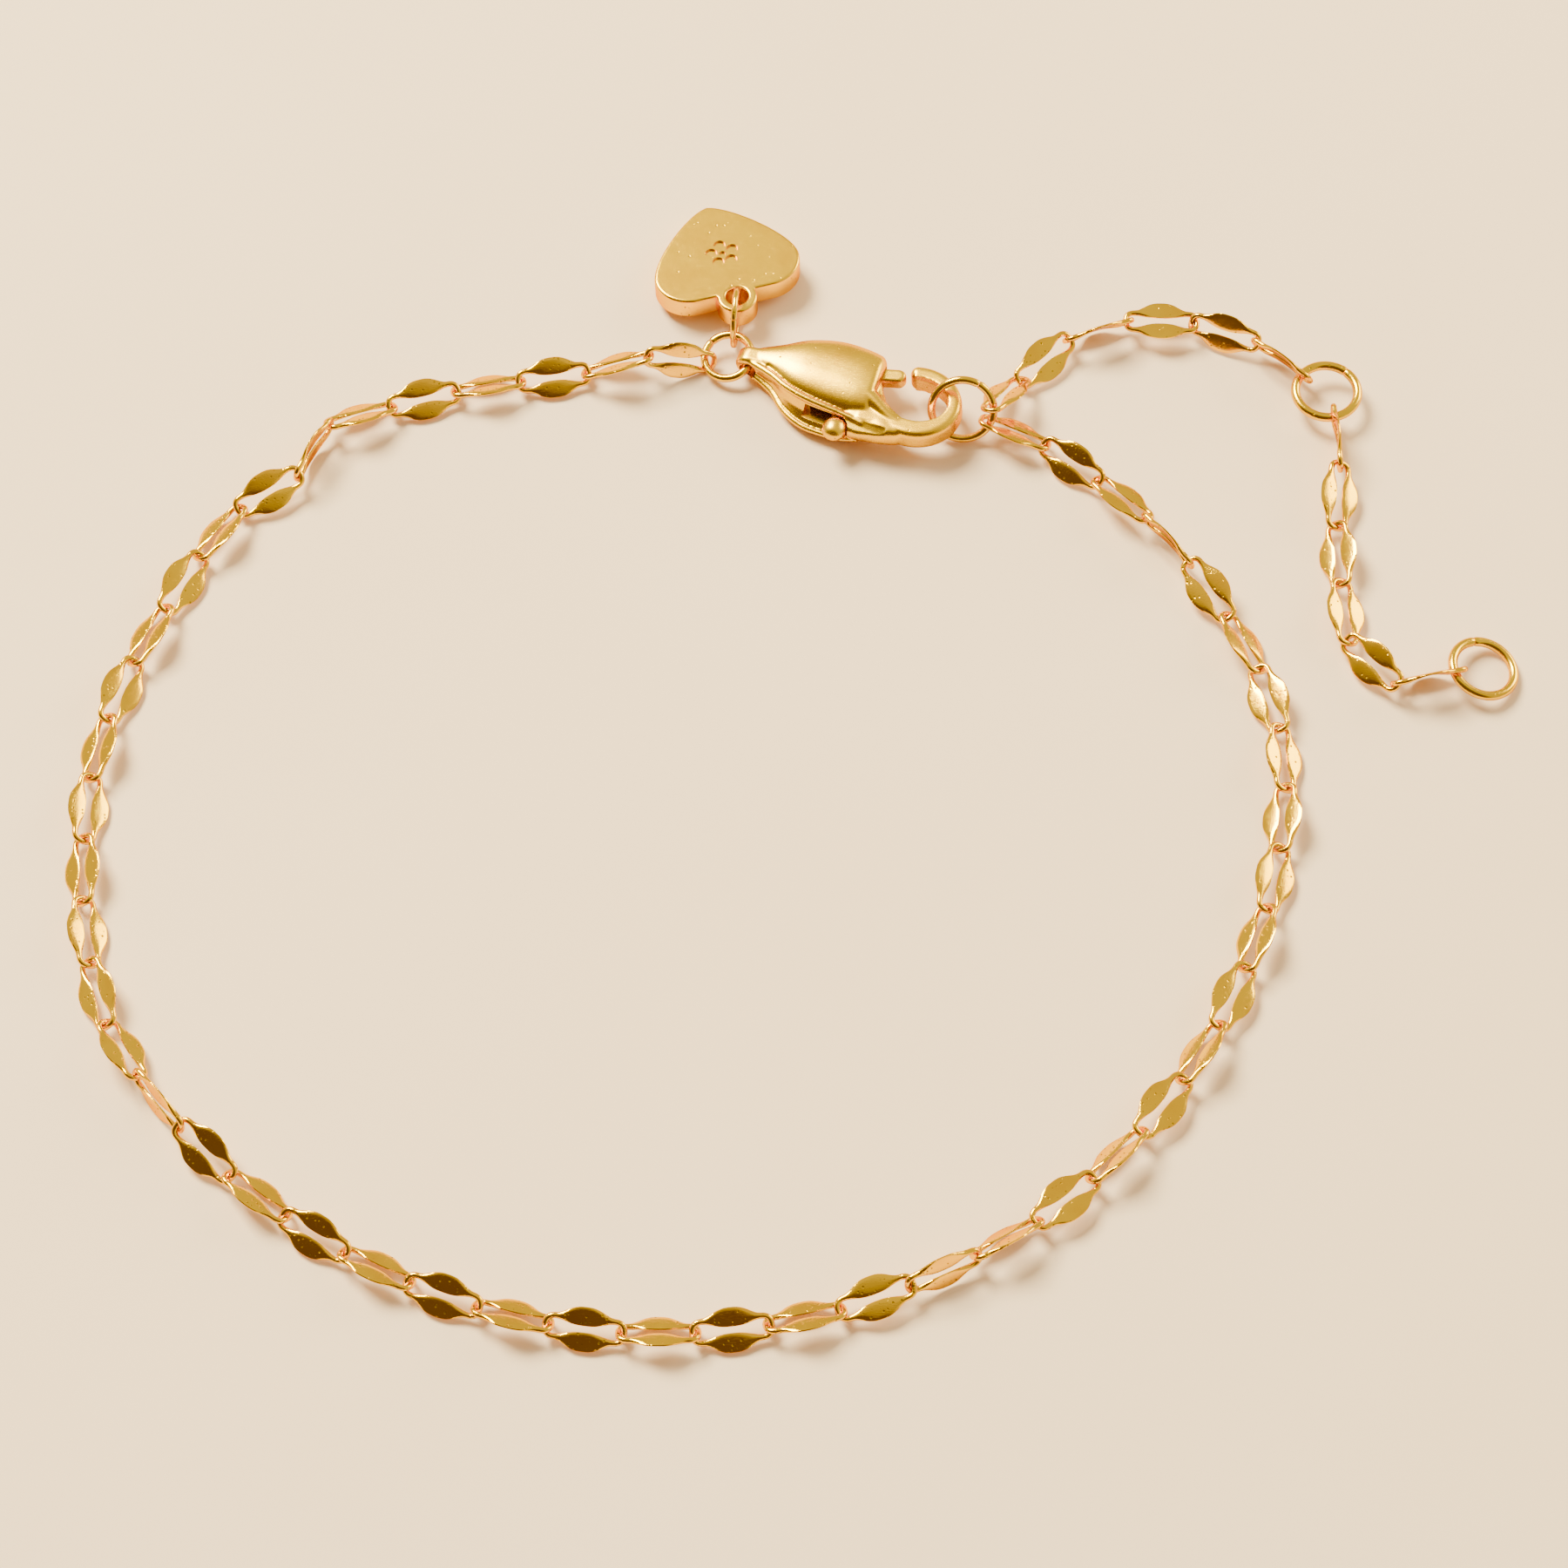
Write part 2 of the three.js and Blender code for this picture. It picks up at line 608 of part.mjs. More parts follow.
const claspRing = ringMesh('clasp_ring', CLASP_RING_RADIUS, CLASP_RING_WIRE);
claspRing.rotation.set(radians(CLASP_RING_LEAN), -radians(CLASP_RING_DROOP), 0, 'YXZ');
claspRing.position.set(-CLASP_RING_RADIUS, 0, 0).applyEuler(claspRing.rotation);
claspRing.position.x += EYE_X;
clasp.add(claspRing);

const hookRing = ringMesh('hook_ring', HOOK_RING_RADIUS, HOOK_RING_WIRE);
hookRing.rotation.set(radians(HOOK_RING_LEAN), 0, radians(HOOK_RING_TURN), 'ZYX');
hookRing.position.set(HOOK_RING_X, 0, 0);
clasp.add(hookRing);

const chainStart = seatOnRing(claspRing, CLASP_RING_RADIUS, CLASP_RING_WIRE, CHAIN_START, MAIN_ROUTE[0]);
const chainEnd = seatOnRing(hookRing, HOOK_RING_RADIUS, HOOK_RING_WIRE, CHAIN_END, MAIN_ROUTE.at(-1));
const mainRolls = linkRolls(MAIN_ROLLS);
const mainJoints = heldJoints(chainStart, MAIN_ROUTE, chainEnd, mainRolls);
bracelet.add(meshOf('main_chain', chainOf(mainJoints, mainRolls), gold(GOLD, 0.25)));

const innerStart = seatOnRing(
  hookRing, HOOK_RING_RADIUS, HOOK_RING_WIRE, EXTENSION_START, INNER_ROUTE[0],
);
const innerRolls = linkRolls(INNER_ROLLS);
const innerJoints = freeJoints(innerStart, INNER_ROUTE, innerRolls);
bracelet.add(meshOf('extension_chain_inner', chainOf(innerJoints, innerRolls), gold(GOLD, 0.25)));

const [innerBefore, innerEnd] = innerJoints.slice(-2);
const midRing = ringAfter('mid_ring', innerEnd, innerBefore, innerEnd.z);
bracelet.add(midRing);

const outerStart = seatOnRing(
  midRing, PLAIN_RING_RADIUS, PLAIN_RING_WIRE, OUTER_START, OUTER_ROUTE[0],
);
const outerRolls = linkRolls(OUTER_ROLLS);
const outerJoints = freeJoints(outerStart, OUTER_ROUTE, outerRolls);
bracelet.add(meshOf('extension_chain_outer', chainOf(outerJoints, outerRolls), gold(GOLD, 0.25)));

const [outerBefore, outerEnd] = outerJoints.slice(-2);
bracelet.add(ringAfter('end_ring', outerEnd, outerBefore, PLAIN_RING_WIRE / 2 + FLOOR_GAP));

const ringFarSide = new THREE.Vector3(0, CLASP_RING_RADIUS, 0);
claspRing.localToWorld(ringFarSide);
const charmHeading = new THREE.Vector3(1, 0, 0).applyAxisAngle(UP, radians(CHARM_RING_HEADING));
const charmRing = ringMesh('charm_ring', CHARM_RING_RADIUS, CHARM_RING_WIRE);
charmRing.rotation.set(Math.PI / 2, 0, radians(CHARM_RING_HEADING), 'ZYX');
charmRing.position.copy(ringFarSide).addScaledVector(charmHeading, CHARM_RING_TO_WIRE);
charmRing.position.z = CHARM_RING_RADIUS + CHARM_RING_WIRE / 2 + FLOOR_GAP;
bracelet.add(charmRing);

const charm = meshOf('heart_charm', heartCharm(), gold(PALE_GOLD, 0.18));
charm.rotation.set(-radians(HEART_TILT), 0, radians(HEART_HEADING - 90), 'ZYX');
charm.position.copy(charmRing.position).addScaledVector(charmHeading, CHARM_RING_TO_HOLE);
charm.position.z = HEART_TIP * Math.sin(radians(HEART_TILT)) + FLOOR_GAP;
bracelet.add(charm);

bracelet.updateMatrixWorld(true);
const size = new THREE.Box3().setFromObject(bracelet, true);
const centre = size.getCenter(new THREE.Vector3());
bracelet.position.set(-centre.x, -centre.y, -size.min.z);

export default bracelet;
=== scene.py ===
"""A gold bracelet of sequin links with its lobster clasp, jump rings and heart charm.

The shapes are drawn in millimetres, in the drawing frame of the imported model, and are moved to the
row frame in metres when a piece is finished.
"""

from __future__ import annotations

import json
import logging
import math
from dataclasses import dataclass, field
from enum import Enum

import bmesh
import bpy
from mathutils import Matrix, Quaternion, Vector

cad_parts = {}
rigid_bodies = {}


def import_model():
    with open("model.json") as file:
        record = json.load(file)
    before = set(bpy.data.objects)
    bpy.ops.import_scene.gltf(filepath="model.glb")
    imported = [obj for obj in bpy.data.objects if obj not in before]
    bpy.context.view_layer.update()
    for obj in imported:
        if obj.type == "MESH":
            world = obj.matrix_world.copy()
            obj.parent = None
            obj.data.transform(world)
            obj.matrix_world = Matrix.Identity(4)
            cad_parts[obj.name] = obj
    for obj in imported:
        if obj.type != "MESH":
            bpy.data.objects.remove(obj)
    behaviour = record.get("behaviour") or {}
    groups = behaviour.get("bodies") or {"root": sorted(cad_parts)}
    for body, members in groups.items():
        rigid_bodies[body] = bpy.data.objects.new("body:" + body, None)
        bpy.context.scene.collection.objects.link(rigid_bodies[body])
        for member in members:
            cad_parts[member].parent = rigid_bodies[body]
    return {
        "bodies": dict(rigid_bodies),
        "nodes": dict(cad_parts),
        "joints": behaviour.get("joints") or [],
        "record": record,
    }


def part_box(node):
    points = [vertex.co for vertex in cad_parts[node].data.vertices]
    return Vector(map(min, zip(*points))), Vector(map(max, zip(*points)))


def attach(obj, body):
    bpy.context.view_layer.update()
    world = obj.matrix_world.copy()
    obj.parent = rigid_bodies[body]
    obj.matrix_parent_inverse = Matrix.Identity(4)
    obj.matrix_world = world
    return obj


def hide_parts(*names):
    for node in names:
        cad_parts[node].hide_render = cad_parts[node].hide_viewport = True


log = logging.getLogger("bracelet")

MILLIMETRE = 0.001
UP = Vector((0.0, 0.0, 1.0))

# Millimetres of the drawing: the air under a piece, the air between a ring and the link that pulls
# on it, the two plain rings, and how near points are welded.
FLOOR_GAP = 0.02
RING_GAP = 0.14
PLAIN_RING_RADIUS = 1.55
PLAIN_RING_WIRE = 0.46
WELD = 1e-5

# Edges that bend by more than this stay sharp, in radians.
SHARP_ANGLE = math.radians(38)

Pair = tuple[float, float]
Point = tuple[float, float, float]
Colour = tuple[float, float, float]
Section = tuple[float, float, float, float]
Row = list[Vector]
Socket = bpy.types.NodeSocket


class Body(Enum):
    """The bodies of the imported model."""

    BRACELET = "bracelet"
    LEVER = "lever"


class Slot(Enum):
    """The material slots of the record."""

    CLASP = "clasp_gold"
    RING = "ring_gold"
    CHAIN = "chain_gold"
    CHARM = "charm_gold"


# Materials


@dataclass(frozen=True)
class NodeBoard:
    """A node tree under construction, with short ways to add nodes and join them."""

    tree: bpy.types.NodeTree

    def feed(self, node: bpy.types.Node, inputs: dict[str | int, object]) -> bpy.types.Node:
        """Fills the inputs of a node.

        Args:
            node: Node to fill.
            inputs: What each input gets: a socket is joined on, any other value is set.

        Returns:
            The same node.
        """
        for key, given in inputs.items():
            if isinstance(given, bpy.types.NodeSocket):
                self.tree.links.new(given, node.inputs[key])
            else:
                node.inputs[key].default_value = given
        return node

    def add(self, kind: str, inputs: dict[str | int, object], **settings: object) -> bpy.types.Node:
        """Adds a node and fills its inputs.

        Args:
            kind: Type of the node.
            inputs: What each input gets, as in feed.
            **settings: Properties of the node, such as its operation.

        Returns:
            The node.
        """
        node = self.tree.nodes.new(kind)
        for name, choice in settings.items():
            setattr(node, name, choice)
        return self.feed(node, inputs)

    def place(self) -> Socket:
        """Gives the Object coordinates."""
        return self.add("ShaderNodeTexCoord", {}).outputs["Object"]

    def calc(self, operation: str, *values: Socket | float) -> Socket:
        """Works one operation out on one to three values."""
        return self.add("ShaderNodeMath", dict(enumerate(values)), operation=operation).outputs[0]

    def noise(self, place: Socket, scale: float, detail: float) -> Socket:
        """Draws soft noise from 0 to 1."""
        inputs = {"Vector": place, "Scale": scale, "Detail": detail}
        return self.add("ShaderNodeTexNoise", inputs).outputs["Fac"]

    def band(self, value: Socket, ends: Pair) -> Socket:
        """Stretches a value so that the first end becomes 0 and the second one 1."""
        inputs = {"Value": value, "From Min": ends[0], "From Max": ends[1]}
        return self.add("ShaderNodeMapRange", inputs).outputs["Result"]

    def mix(self, share: Socket, first: Colour | Socket, second: Colour) -> Socket:
        """Mixes two colours by a share of the second one."""
        start = first if isinstance(first, bpy.types.NodeSocket) else (*first, 1.0)
        inputs = {"Factor": share, "A": start, "B": (*second, 1.0)}
        return self.add("ShaderNodeMix", inputs, data_type="RGBA").outputs["Result"]

    def bump(self, height: Socket, depth: float, below: Socket | None = None) -> Socket:
        """Adds one relief over another.

        Args:
            height: Height map from 0 to 1.
            depth: Height in metres that 1 stands for, negative where it goes in.
            below: Normal of the relief underneath, if there is one.

        Returns:
            The bumped normal.
        """
        inputs = {"Strength": 1.0, "Distance": abs(depth), "Height": height}
        if below is not None:
            inputs["Normal"] = below
        return self.add("ShaderNodeBump", inputs, invert=depth < 0).outputs["Normal"]


def new_material(name: str) -> tuple[bpy.types.Material, NodeBoard, bpy.types.Node]:
    """Starts a node material, and gives it with its board and its shader."""
    material = bpy.data.materials.new(name)
    material.use_nodes = True
    return material, NodeBoard(material.node_tree), material.node_tree.nodes["Principled BSDF"]


@dataclass(frozen=True)
class GoldFinish:
    """Gold plate with clouding, wiped scratches and fine pits darkened by painted shade, at the
    scale of jewellery.

    Scales are features per metre, depths are metres, and each band is the two noise values between
    which its pattern fades in.
    """

    name: str
    colour: Colour
    deep: Colour
    roughness: float
    rim: Colour = (0.85, 0.5, 0.1)
    scratch_roughness: float = 0.05
    cloud_scale: float = 700.0
    cloud_detail: float = 3.0
    cloud_band: Pair = (0.35, 0.75)
    scratch_scale: float = 2600.0
    scratch_detail: float = 2.0
    scratch_stretch: float = 14.0
    scratch_turn: Point = (0.3, 0.2, 0.7)
    scratch_band: Pair = (0.52, 0.74)
    scratch_depth: float = 1.2e-6
    pit_scale: float = 5200.0
    pit_share: float = 0.16
    pit_band: Pair = (0.34, 0.14)
    # Share of the deep gold kept in the middle of each pit: painted shade in the pits.
    pit_painted_shade: float = 0.35
    pit_roughness: float = 0.3
    pit_depth: float = 9.0e-6
    ripple_scale: float = 1100.0
    ripple_detail: float = 1.0
    ripple_depth: float = 4.0e-6

    def build(self) -> bpy.types.Material:
        """Builds the node material of this finish.

        Returns:
            The material, patterned on Object coordinates.
        """
        material, board, shader = new_material(self.name)
        place = board.place()
        cloud = board.noise(place, self.cloud_scale, self.cloud_detail)
        pits = self._pits(board, place)
        scratches = self._scratches(board, place)
        ripple = board.noise(place, self.ripple_scale, self.ripple_detail)
        metal = board.mix(board.band(cloud, self.cloud_band), self.colour, self.deep)
        # Painted shade: the pits are painted with a darker copy of the deep gold.
        pit_shade_colour = tuple(self.pit_painted_shade * part for part in self.deep)
        rough = board.calc("MULTIPLY_ADD", scratches, self.scratch_roughness, self.roughness)
        relief = board.bump(ripple, self.ripple_depth)
        relief = board.bump(scratches, self.scratch_depth, relief)
        finish = {
            "Metallic": 1.0,
            "Specular Tint": (*self.rim, 1.0),
            "Base Color": board.mix(pits, metal, pit_shade_colour),
            "Roughness": board.calc("MULTIPLY_ADD", pits, self.pit_roughness, rough),
            "Normal": board.bump(pits, -self.pit_depth, relief),
        }
        board.feed(shader, finish)
        return material

    def _pits(self, board: NodeBoard, place: Socket) -> Socket:
        """Marks a share of small cells with a round pit.

        Args:
            board: Board of the material.
            place: Object coordinates.

        Returns:
            A mask that is 1 in the middle of each pit.
        """
        cells = board.add("ShaderNodeTexVoronoi", {"Vector": place, "Scale": self.pit_scale})
        draw = board.add("ShaderNodeSeparateColor", {"Color": cells.outputs["Color"]})
        chosen = board.calc("LESS_THAN", draw.outputs["Red"], self.pit_share)
        return board.calc("MULTIPLY", board.band(cells.outputs["Distance"], self.pit_band), chosen)

    def _scratches(self, board: NodeBoard, place: Socket) -> Socket:
        """Draws fine scratches as noise that is stretched along one slanting way.

        Args:
            board: Board of the material.
            place: Object coordinates.

        Returns:
            A mask that is near 1 along each scratch.
        """
        size = (1.0, self.scratch_stretch, self.scratch_stretch)
        inputs = {"Vector": place, "Rotation": self.scratch_turn, "Scale": size}
        stretched = board.add("ShaderNodeMapping", inputs).outputs["Vector"]
        lines = board.noise(stretched, self.scratch_scale, self.scratch_detail)
        return board.band(lines, self.scratch_band)


CHAIN_FINISH = GoldFinish(
    "mirror_gold_leaf", (0.95, 0.55, 0.003), (0.86, 0.45, 0.002), roughness=0.1, pit_share=0.3
)
RING_FINISH = GoldFinish(
    "drawn_gold_wire", (0.9, 0.55, 0.003), (0.8, 0.45, 0.002), roughness=0.15, pit_share=0.05
)
CLASP_FINISH = GoldFinish(
    "tumbled_gold", (0.93, 0.56, 0.003), (0.82, 0.45, 0.002), roughness=0.27, pit_share=0.03
)
CHARM_FINISH = GoldFinish(
    "satin_gold", (0.98, 0.58, 0.003), (0.92, 0.51, 0.002), roughness=0.22, pit_share=0.03
)


# Curves and meshes


def catmull_rom(points: Row, count: int) -> Row:
    """Runs a centripetal Catmull-Rom curve through points.

    Args:
        points: Points that the curve passes through, of any dimension.
        count: Number of pieces that the curve is cut into.

    Returns:
        The count + 1 points of the curve, evenly spaced in its parameter.
    """
    padded = [2 * points[0] - points[1], *points, 2 * points[-1] - points[-2]]
    line = []
    for step in range(count + 1):
        place = step / count * (len(points) - 1)
        first = min(int(place), len(points) - 2)
        share = place - first
        p0, p1, p2, p3 = padded[first : first + 4]
        before, here, after = ((b - a).length ** 0.5 for a, b in ((p0, p1), (p1, p2), (p2, p3)))
        out = (p1 - p0) / before - (p2 - p0) / (before + here) + (p2 - p1) / here
        into = (p2 - p1) / here - (p3 - p1) / (here + after) + (p3 - p2) / after
        out, into = out * here, into * here
        square = 3 * (p2 - p1) - 2 * out - into
        cube = 2 * (p1 - p2) + out + into
        line.append(p1 + out * share + square * share**2 + cube * share**3)
    return line


def superpoint(angle: float, fullness: float) -> tuple[float, float]:
    """Gives a point of a unit rounded box, boxier as fullness grows from 2.

    Args:
        angle: Angle round the box, in radians.
        fullness: Exponent of the superellipse.

    Returns:
        The point's two coordinates, from -1 to 1.
    """
    across = math.copysign(abs(math.cos(angle)) ** (2 / fullness), math.cos(angle))
    rise = math.copysign(abs(math.sin(angle)) ** (2 / fullness), math.sin(angle))
    return across, rise


def skin(rows: list[Row], closed: bool) -> bpy.types.Mesh:
    """Skins rows of points, each a closed ring, into one closed shell.

    Args:
        rows: Rings of the same number of points, in order along the shell.
        closed: Whether the last ring joins the first, instead of both being capped.

    Returns:
        The mesh, with its faces outwards.
    """
    sides = len(rows[0])
    faces: list[list[int]] = []
    for row in range(len(rows) if closed else len(rows) - 1):
        low, high = row * sides, (row + 1) % len(rows) * sides
        for side in range(sides):
            beside = (side + 1) % sides
            faces.append([low + side, low + beside, high + beside, high + side])
    if not closed:
        faces.append(list(range(sides)))
        faces.append([len(rows) * sides - 1 - side for side in range(sides)])
    mesh = bpy.data.meshes.new("skin")
    mesh.from_pydata([point for row in rows for point in row], [], faces)
    return outward(mesh)


def outward(mesh: bpy.types.Mesh) -> bpy.types.Mesh:
    """Merges doubles and turns every face of a closed mesh outwards.

    Args:
        mesh: Mesh to clean.

    Returns:
        The same mesh.
    """
    shape = bmesh.new()
    shape.from_mesh(mesh)
    bmesh.ops.remove_doubles(shape, verts=shape.verts, dist=WELD)
    bmesh.ops.recalc_face_normals(shape, faces=shape.faces)
    shape.to_mesh(mesh)
    shape.free()
    return mesh


def object_of(name: str, mesh: bpy.types.Mesh) -> bpy.types.Object:
    """Links a new object at the origin that shows a mesh."""
    piece = bpy.data.objects.new(name, mesh)
    bpy.context.scene.collection.objects.link(piece)
    return piece


def discard(*pieces: bpy.types.Object) -> None:
    """Removes helper objects from the scene."""
    for piece in pieces:
        bpy.data.objects.remove(piece)


def evaluated_mesh(piece: bpy.types.Object) -> bpy.types.Mesh:
    """Copies the mesh of a piece with its modifiers applied."""
    graph = bpy.context.evaluated_depsgraph_get()
    return bpy.data.meshes.new_from_object(piece.evaluated_get(graph))


def joined(meshes: list[bpy.types.Mesh]) -> bpy.types.Mesh:
    """Joins meshes into one without welding them."""
    shape = bmesh.new()
    for mesh in meshes:
        shape.from_mesh(mesh)
    together = bpy.data.meshes.new("joined")
    shape.to_mesh(together)
    shape.free()
    return together


def melted(meshes: list[bpy.types.Mesh], voxel: float, smoothing: int) -> bpy.types.Mesh:
    """Melts closed shells into one cast shape with soft corners.

    Args:
        meshes: Closed shells that overlap.
        voxel: Grain of the casting.
        smoothing: Rounds of smoothing, which soften the corners.

    Returns:
        The cast mesh.
    """
    raw = object_of("melt", joined(meshes))
    remesh = raw.modifiers.new("melt", "REMESH")
    remesh.mode = "VOXEL"
    remesh.voxel_size = voxel
    smooth = raw.modifiers.new("polish", "SMOOTH")
    smooth.factor = 0.5
    smooth.iterations = smoothing
    cast = evaluated_mesh(raw)
    discard(raw)
    return cast


def carved(mesh: bpy.types.Mesh, cutters: list[bpy.types.Mesh]) -> bpy.types.Mesh:
    """Cuts closed shells out of a mesh.

    Args:
        mesh: Mesh to cut.
        cutters: Closed shells, each cut in turn.

    Returns:
        The cut mesh.
    """
    blank = object_of("blank", mesh)
    tools = []
    for index, cutter in enumerate(cutters):
        tool = object_of(f"tool_{index}", cutter)
        cut = blank.modifiers.new(tool.name, "BOOLEAN")
        cut.operation = "DIFFERENCE"
        cut.solver = "EXACT"
        cut.object = tool
        tools.append(tool)
    result = evaluated_mesh(blank)
    discard(blank, *tools)
    return result


def inset(outline: Row, depth: float) -> Row:
    """Moves an anticlockwise outline inwards.

    Args:
        outline: Points of a closed outline in the xy plane.
        depth: Distance to move each point.

    Returns:
        The inner outline.
    """
    count = len(outline)
    inner = []
    for index, point in enumerate(outline):
        way = (outline[(index + 1) % count] - outline[index - 1]).normalized()
        inner.append(point + depth * Vector((-way.y, way.x, 0.0)))
    return inner


def rounded_plate(outline: Row, thickness: float, edge: float, steps: int = 5) -> bpy.types.Mesh:
    """Makes a plate with rounded edges, centred on z = 0.

    Args:
        outline: Anticlockwise closed outline in the xy plane.
        thickness: Full thickness of the plate.
        edge: Radius of its rounded edges.
        steps: Steps of the rounding.

    Returns:
        The plate's mesh.
    """
    rows = []
    for side in (-1, 1):
        for step in range(steps + 1):
            share = step / steps if side > 0 else 1 - step / steps
            angle = share * math.pi / 2
            height = side * (thickness / 2 - edge + edge * math.sin(angle))
            ring = inset(outline, edge * (1 - math.cos(angle)))
            rows.append([point + height * UP for point in ring])
    return skin(rows, False)


def tube(path: list[Point], radii: Pair, steps: int = 70, sides: int = 20) -> bpy.types.Mesh:
    """Makes a round bar along a smooth path.

    Args:
        path: Points that the bar's middle passes through.
        radii: Radius at its start and at its end.
        steps: Number of pieces along the bar.
        sides: Points round the bar.

    Returns:
        The bar.
    """
    line = catmull_rom([Vector(point) for point in path], steps)
    rows = []
    for index, point in enumerate(line):
        way = (line[min(index + 1, steps)] - line[max(index - 1, 0)]).normalized()
        level = UP.cross(way).normalized()
        upright = way.cross(level)
        reach = radii[0] + (radii[1] - radii[0]) * index / steps
        angles = (2 * math.pi * side / sides for side in range(sides))
        rows.append([point + reach * (math.cos(a) * level + math.sin(a) * upright) for a in angles])
    return skin(rows, False)


def ellipse_arc(centre: Pair, radii: Pair, start: float, end: float, steps: int) -> Row:
    """Draws part of an ellipse in the xy plane.

    Args:
        centre: Middle of the ellipse.
        radii: Half width and half height.
        start: First angle in degrees.
        end: Last angle in degrees, below the first one where the arc runs clockwise.
        steps: Number of pieces.

    Returns:
        The points of the arc.
    """
    angles = [math.radians(start + (end - start) * step / steps) for step in range(steps + 1)]
    return [
        Vector((centre[0] + radii[0] * math.cos(a), centre[1] + radii[1] * math.sin(a), 0.0))
        for a in angles
    ]


def circle(centre: Pair, radius: float, sides: int) -> Row:
    """Draws a whole circle in the xy plane, anticlockwise."""
    return ellipse_arc(centre, (radius, radius), 0, 360 * (sides - 1) / sides, sides - 1)


def prism(outline: Row, height: float) -> bpy.types.Mesh:
    """Raises an outline in the xy plane to a block that is centred on z = 0."""
    return skin([[point + side * height / 2 * UP for point in outline] for side in (-1, 1)], False)


def disc(centre: Pair, radius: float, thickness: float, sides: int = 64) -> bpy.types.Mesh:
    """Makes a flat round disc that is centred on z = 0."""
    return prism(circle(centre, radius, sides), thickness)


def turn(axis: str, degrees: float) -> Matrix:
    """Gives a turn about one axis."""
    return Matrix.Rotation(math.radians(degrees), 4, axis)


@dataclass
class Workshop:
    """Finishes pieces: moves them to the row frame, dresses them and ties them to the model.

    Attributes:
        shift: How far the drawing frame lies from the row frame, in millimetres.
        materials: Materials built so far, by the name of their finish.
    """

    shift: Vector = field(default_factory=Vector)
    materials: dict[str, bpy.types.Material] = field(default_factory=dict)

    def dress(
        self,
        mesh: bpy.types.Mesh,
        node: str,
        place: Matrix,
        finish: GoldFinish,
        body: Body,
    ) -> bpy.types.Object:
        """Turns a mesh in millimetres into the finished piece that stands for a node.

        Args:
            mesh: Mesh in its own drawing.
            node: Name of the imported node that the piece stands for.
            place: Place of that drawing in the drawing frame.
            finish: Finish of the piece.
            body: Body that the piece rides on.

        Returns:
            The finished piece.
        """
        mesh.transform(Matrix.Scale(MILLIMETRE, 4) @ Matrix.Translation(self.shift) @ place)
        mesh.materials.clear()
        mesh.materials.append(self.material(finish))
        mesh.name = f"{node}_fine"
        mesh.shade_smooth()
        mesh.set_sharp_from_angle(angle=SHARP_ANGLE)
        piece = object_of(f"{node}_fine", mesh)
        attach(piece, body.value)
        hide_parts(node)
        mesh.calc_loop_triangles()
        log.info("%s: %d triangles, finish %s", piece.name, len(mesh.loop_triangles), finish.name)
        return piece

    def material(self, finish: GoldFinish) -> bpy.types.Material:
        """Gives the one material of a finish, building it the first time."""
        if finish.name not in self.materials:
            self.materials[finish.name] = finish.build()
        return self.materials[finish.name]


# Chain


@dataclass
class SequinLink:
    """A wire loop whose two long sides are rolled flat into pointed leaves.

    The rest sizes are the ones that set how high a rolled link lies: how far its leaf lies out, how
    wide it is, and how deep it is under its middle.
    """

    pitch: float = 3.3
    wire: float = 0.28
    end_radius: float = 0.48
    end_bulge: float = 0.08
    leaf_length: float = 2.66
    leaf_width: float = 0.88
    leaf_thickness: float = 0.13
    leaf_offset: float = 0.58
    leaf_bow: float = 0.1
    leaf_taper: float = 1.4
    leaf_fullness: float = 3.4
    rest_offset: float = 0.57
    rest_width: float = 0.86
    rest_depth: float = 0.08
    end_steps: int = 10
    leaf_steps: int = 18
    sides: int = 16

    def _station(self, centre: Vector, outward_way: Vector, full: float) -> Row:
        """Draws one cross section of the loop.

        Args:
            centre: Middle of the section.
            outward_way: Direction out of the loop, in its plane.
            full: 0 for round wire, 1 for the middle of a leaf.

        Returns:
            The points round the section.
        """
        wide = (self.wire + (self.leaf_width - self.wire) * full) / 2
        thick = (self.wire + (self.leaf_thickness - self.wire) * full) / 2
        fullness = 2 + (self.leaf_fullness - 2) * full
        row = []
        for side in range(self.sides):
            across, rise = superpoint(-2 * math.pi * side / self.sides, fullness)
            row.append(centre + wide * across * outward_way + thick * rise * UP)
        return row

    def mesh(self) -> bpy.types.Mesh:
        """Builds the link about the origin, long in x and flat in z."""
        end_centre = (self.pitch + self.wire) / 2 - self.end_radius
        half = self.leaf_length / 2
        rows = []
        for turned in (1, -1):
            for step in range(-self.end_steps + 1, self.end_steps):
                angle = math.pi / 2 * step / self.end_steps
                way = Vector((math.cos(angle), math.sin(angle), 0.0))
                reach = self.end_radius * (1 + self.end_bulge * math.sin(2 * abs(angle)) ** 2)
                centre = turned * (reach * way + Vector((end_centre, 0, 0)))
                rows.append(self._station(centre, turned * way, 0.0))
            for step in range(self.leaf_steps + 1):
                share = 1 - 2 * step / self.leaf_steps
                full = (1 + math.cos(math.pi * abs(share) ** self.leaf_taper)) / 2
                across = self.end_radius + (self.leaf_offset - self.end_radius) * full
                middle = turned * Vector((half * share, across, 0)) + self.leaf_bow * full * UP
                rows.append(self._station(middle, Vector((0, turned, 0)), full))
        return skin(rows, True)

    def resting_height(self, roll: float) -> float:
        """Gives the height of a rolled link's middle when its lower leaf lies on the table."""
        half_width = self.rest_offset + self.rest_width / 2
        lean = math.radians(roll)
        return FLOOR_GAP + half_width * abs(math.sin(lean)) + self.rest_depth * abs(math.cos(lean))


@dataclass(frozen=True)
class Roll:
    """A run of links that lean alike, with neighbours swung either side of the lean."""

    links: int
    lean: float
    drift: float = 0.0
    swing: float = 0.0

    def degrees(self) -> list[float]:
        """Gives the roll of each link of the run."""
        return [
            self.lean + self.drift * count + (-self.swing if count % 2 else self.swing)
            for count in range(self.links)
        ]


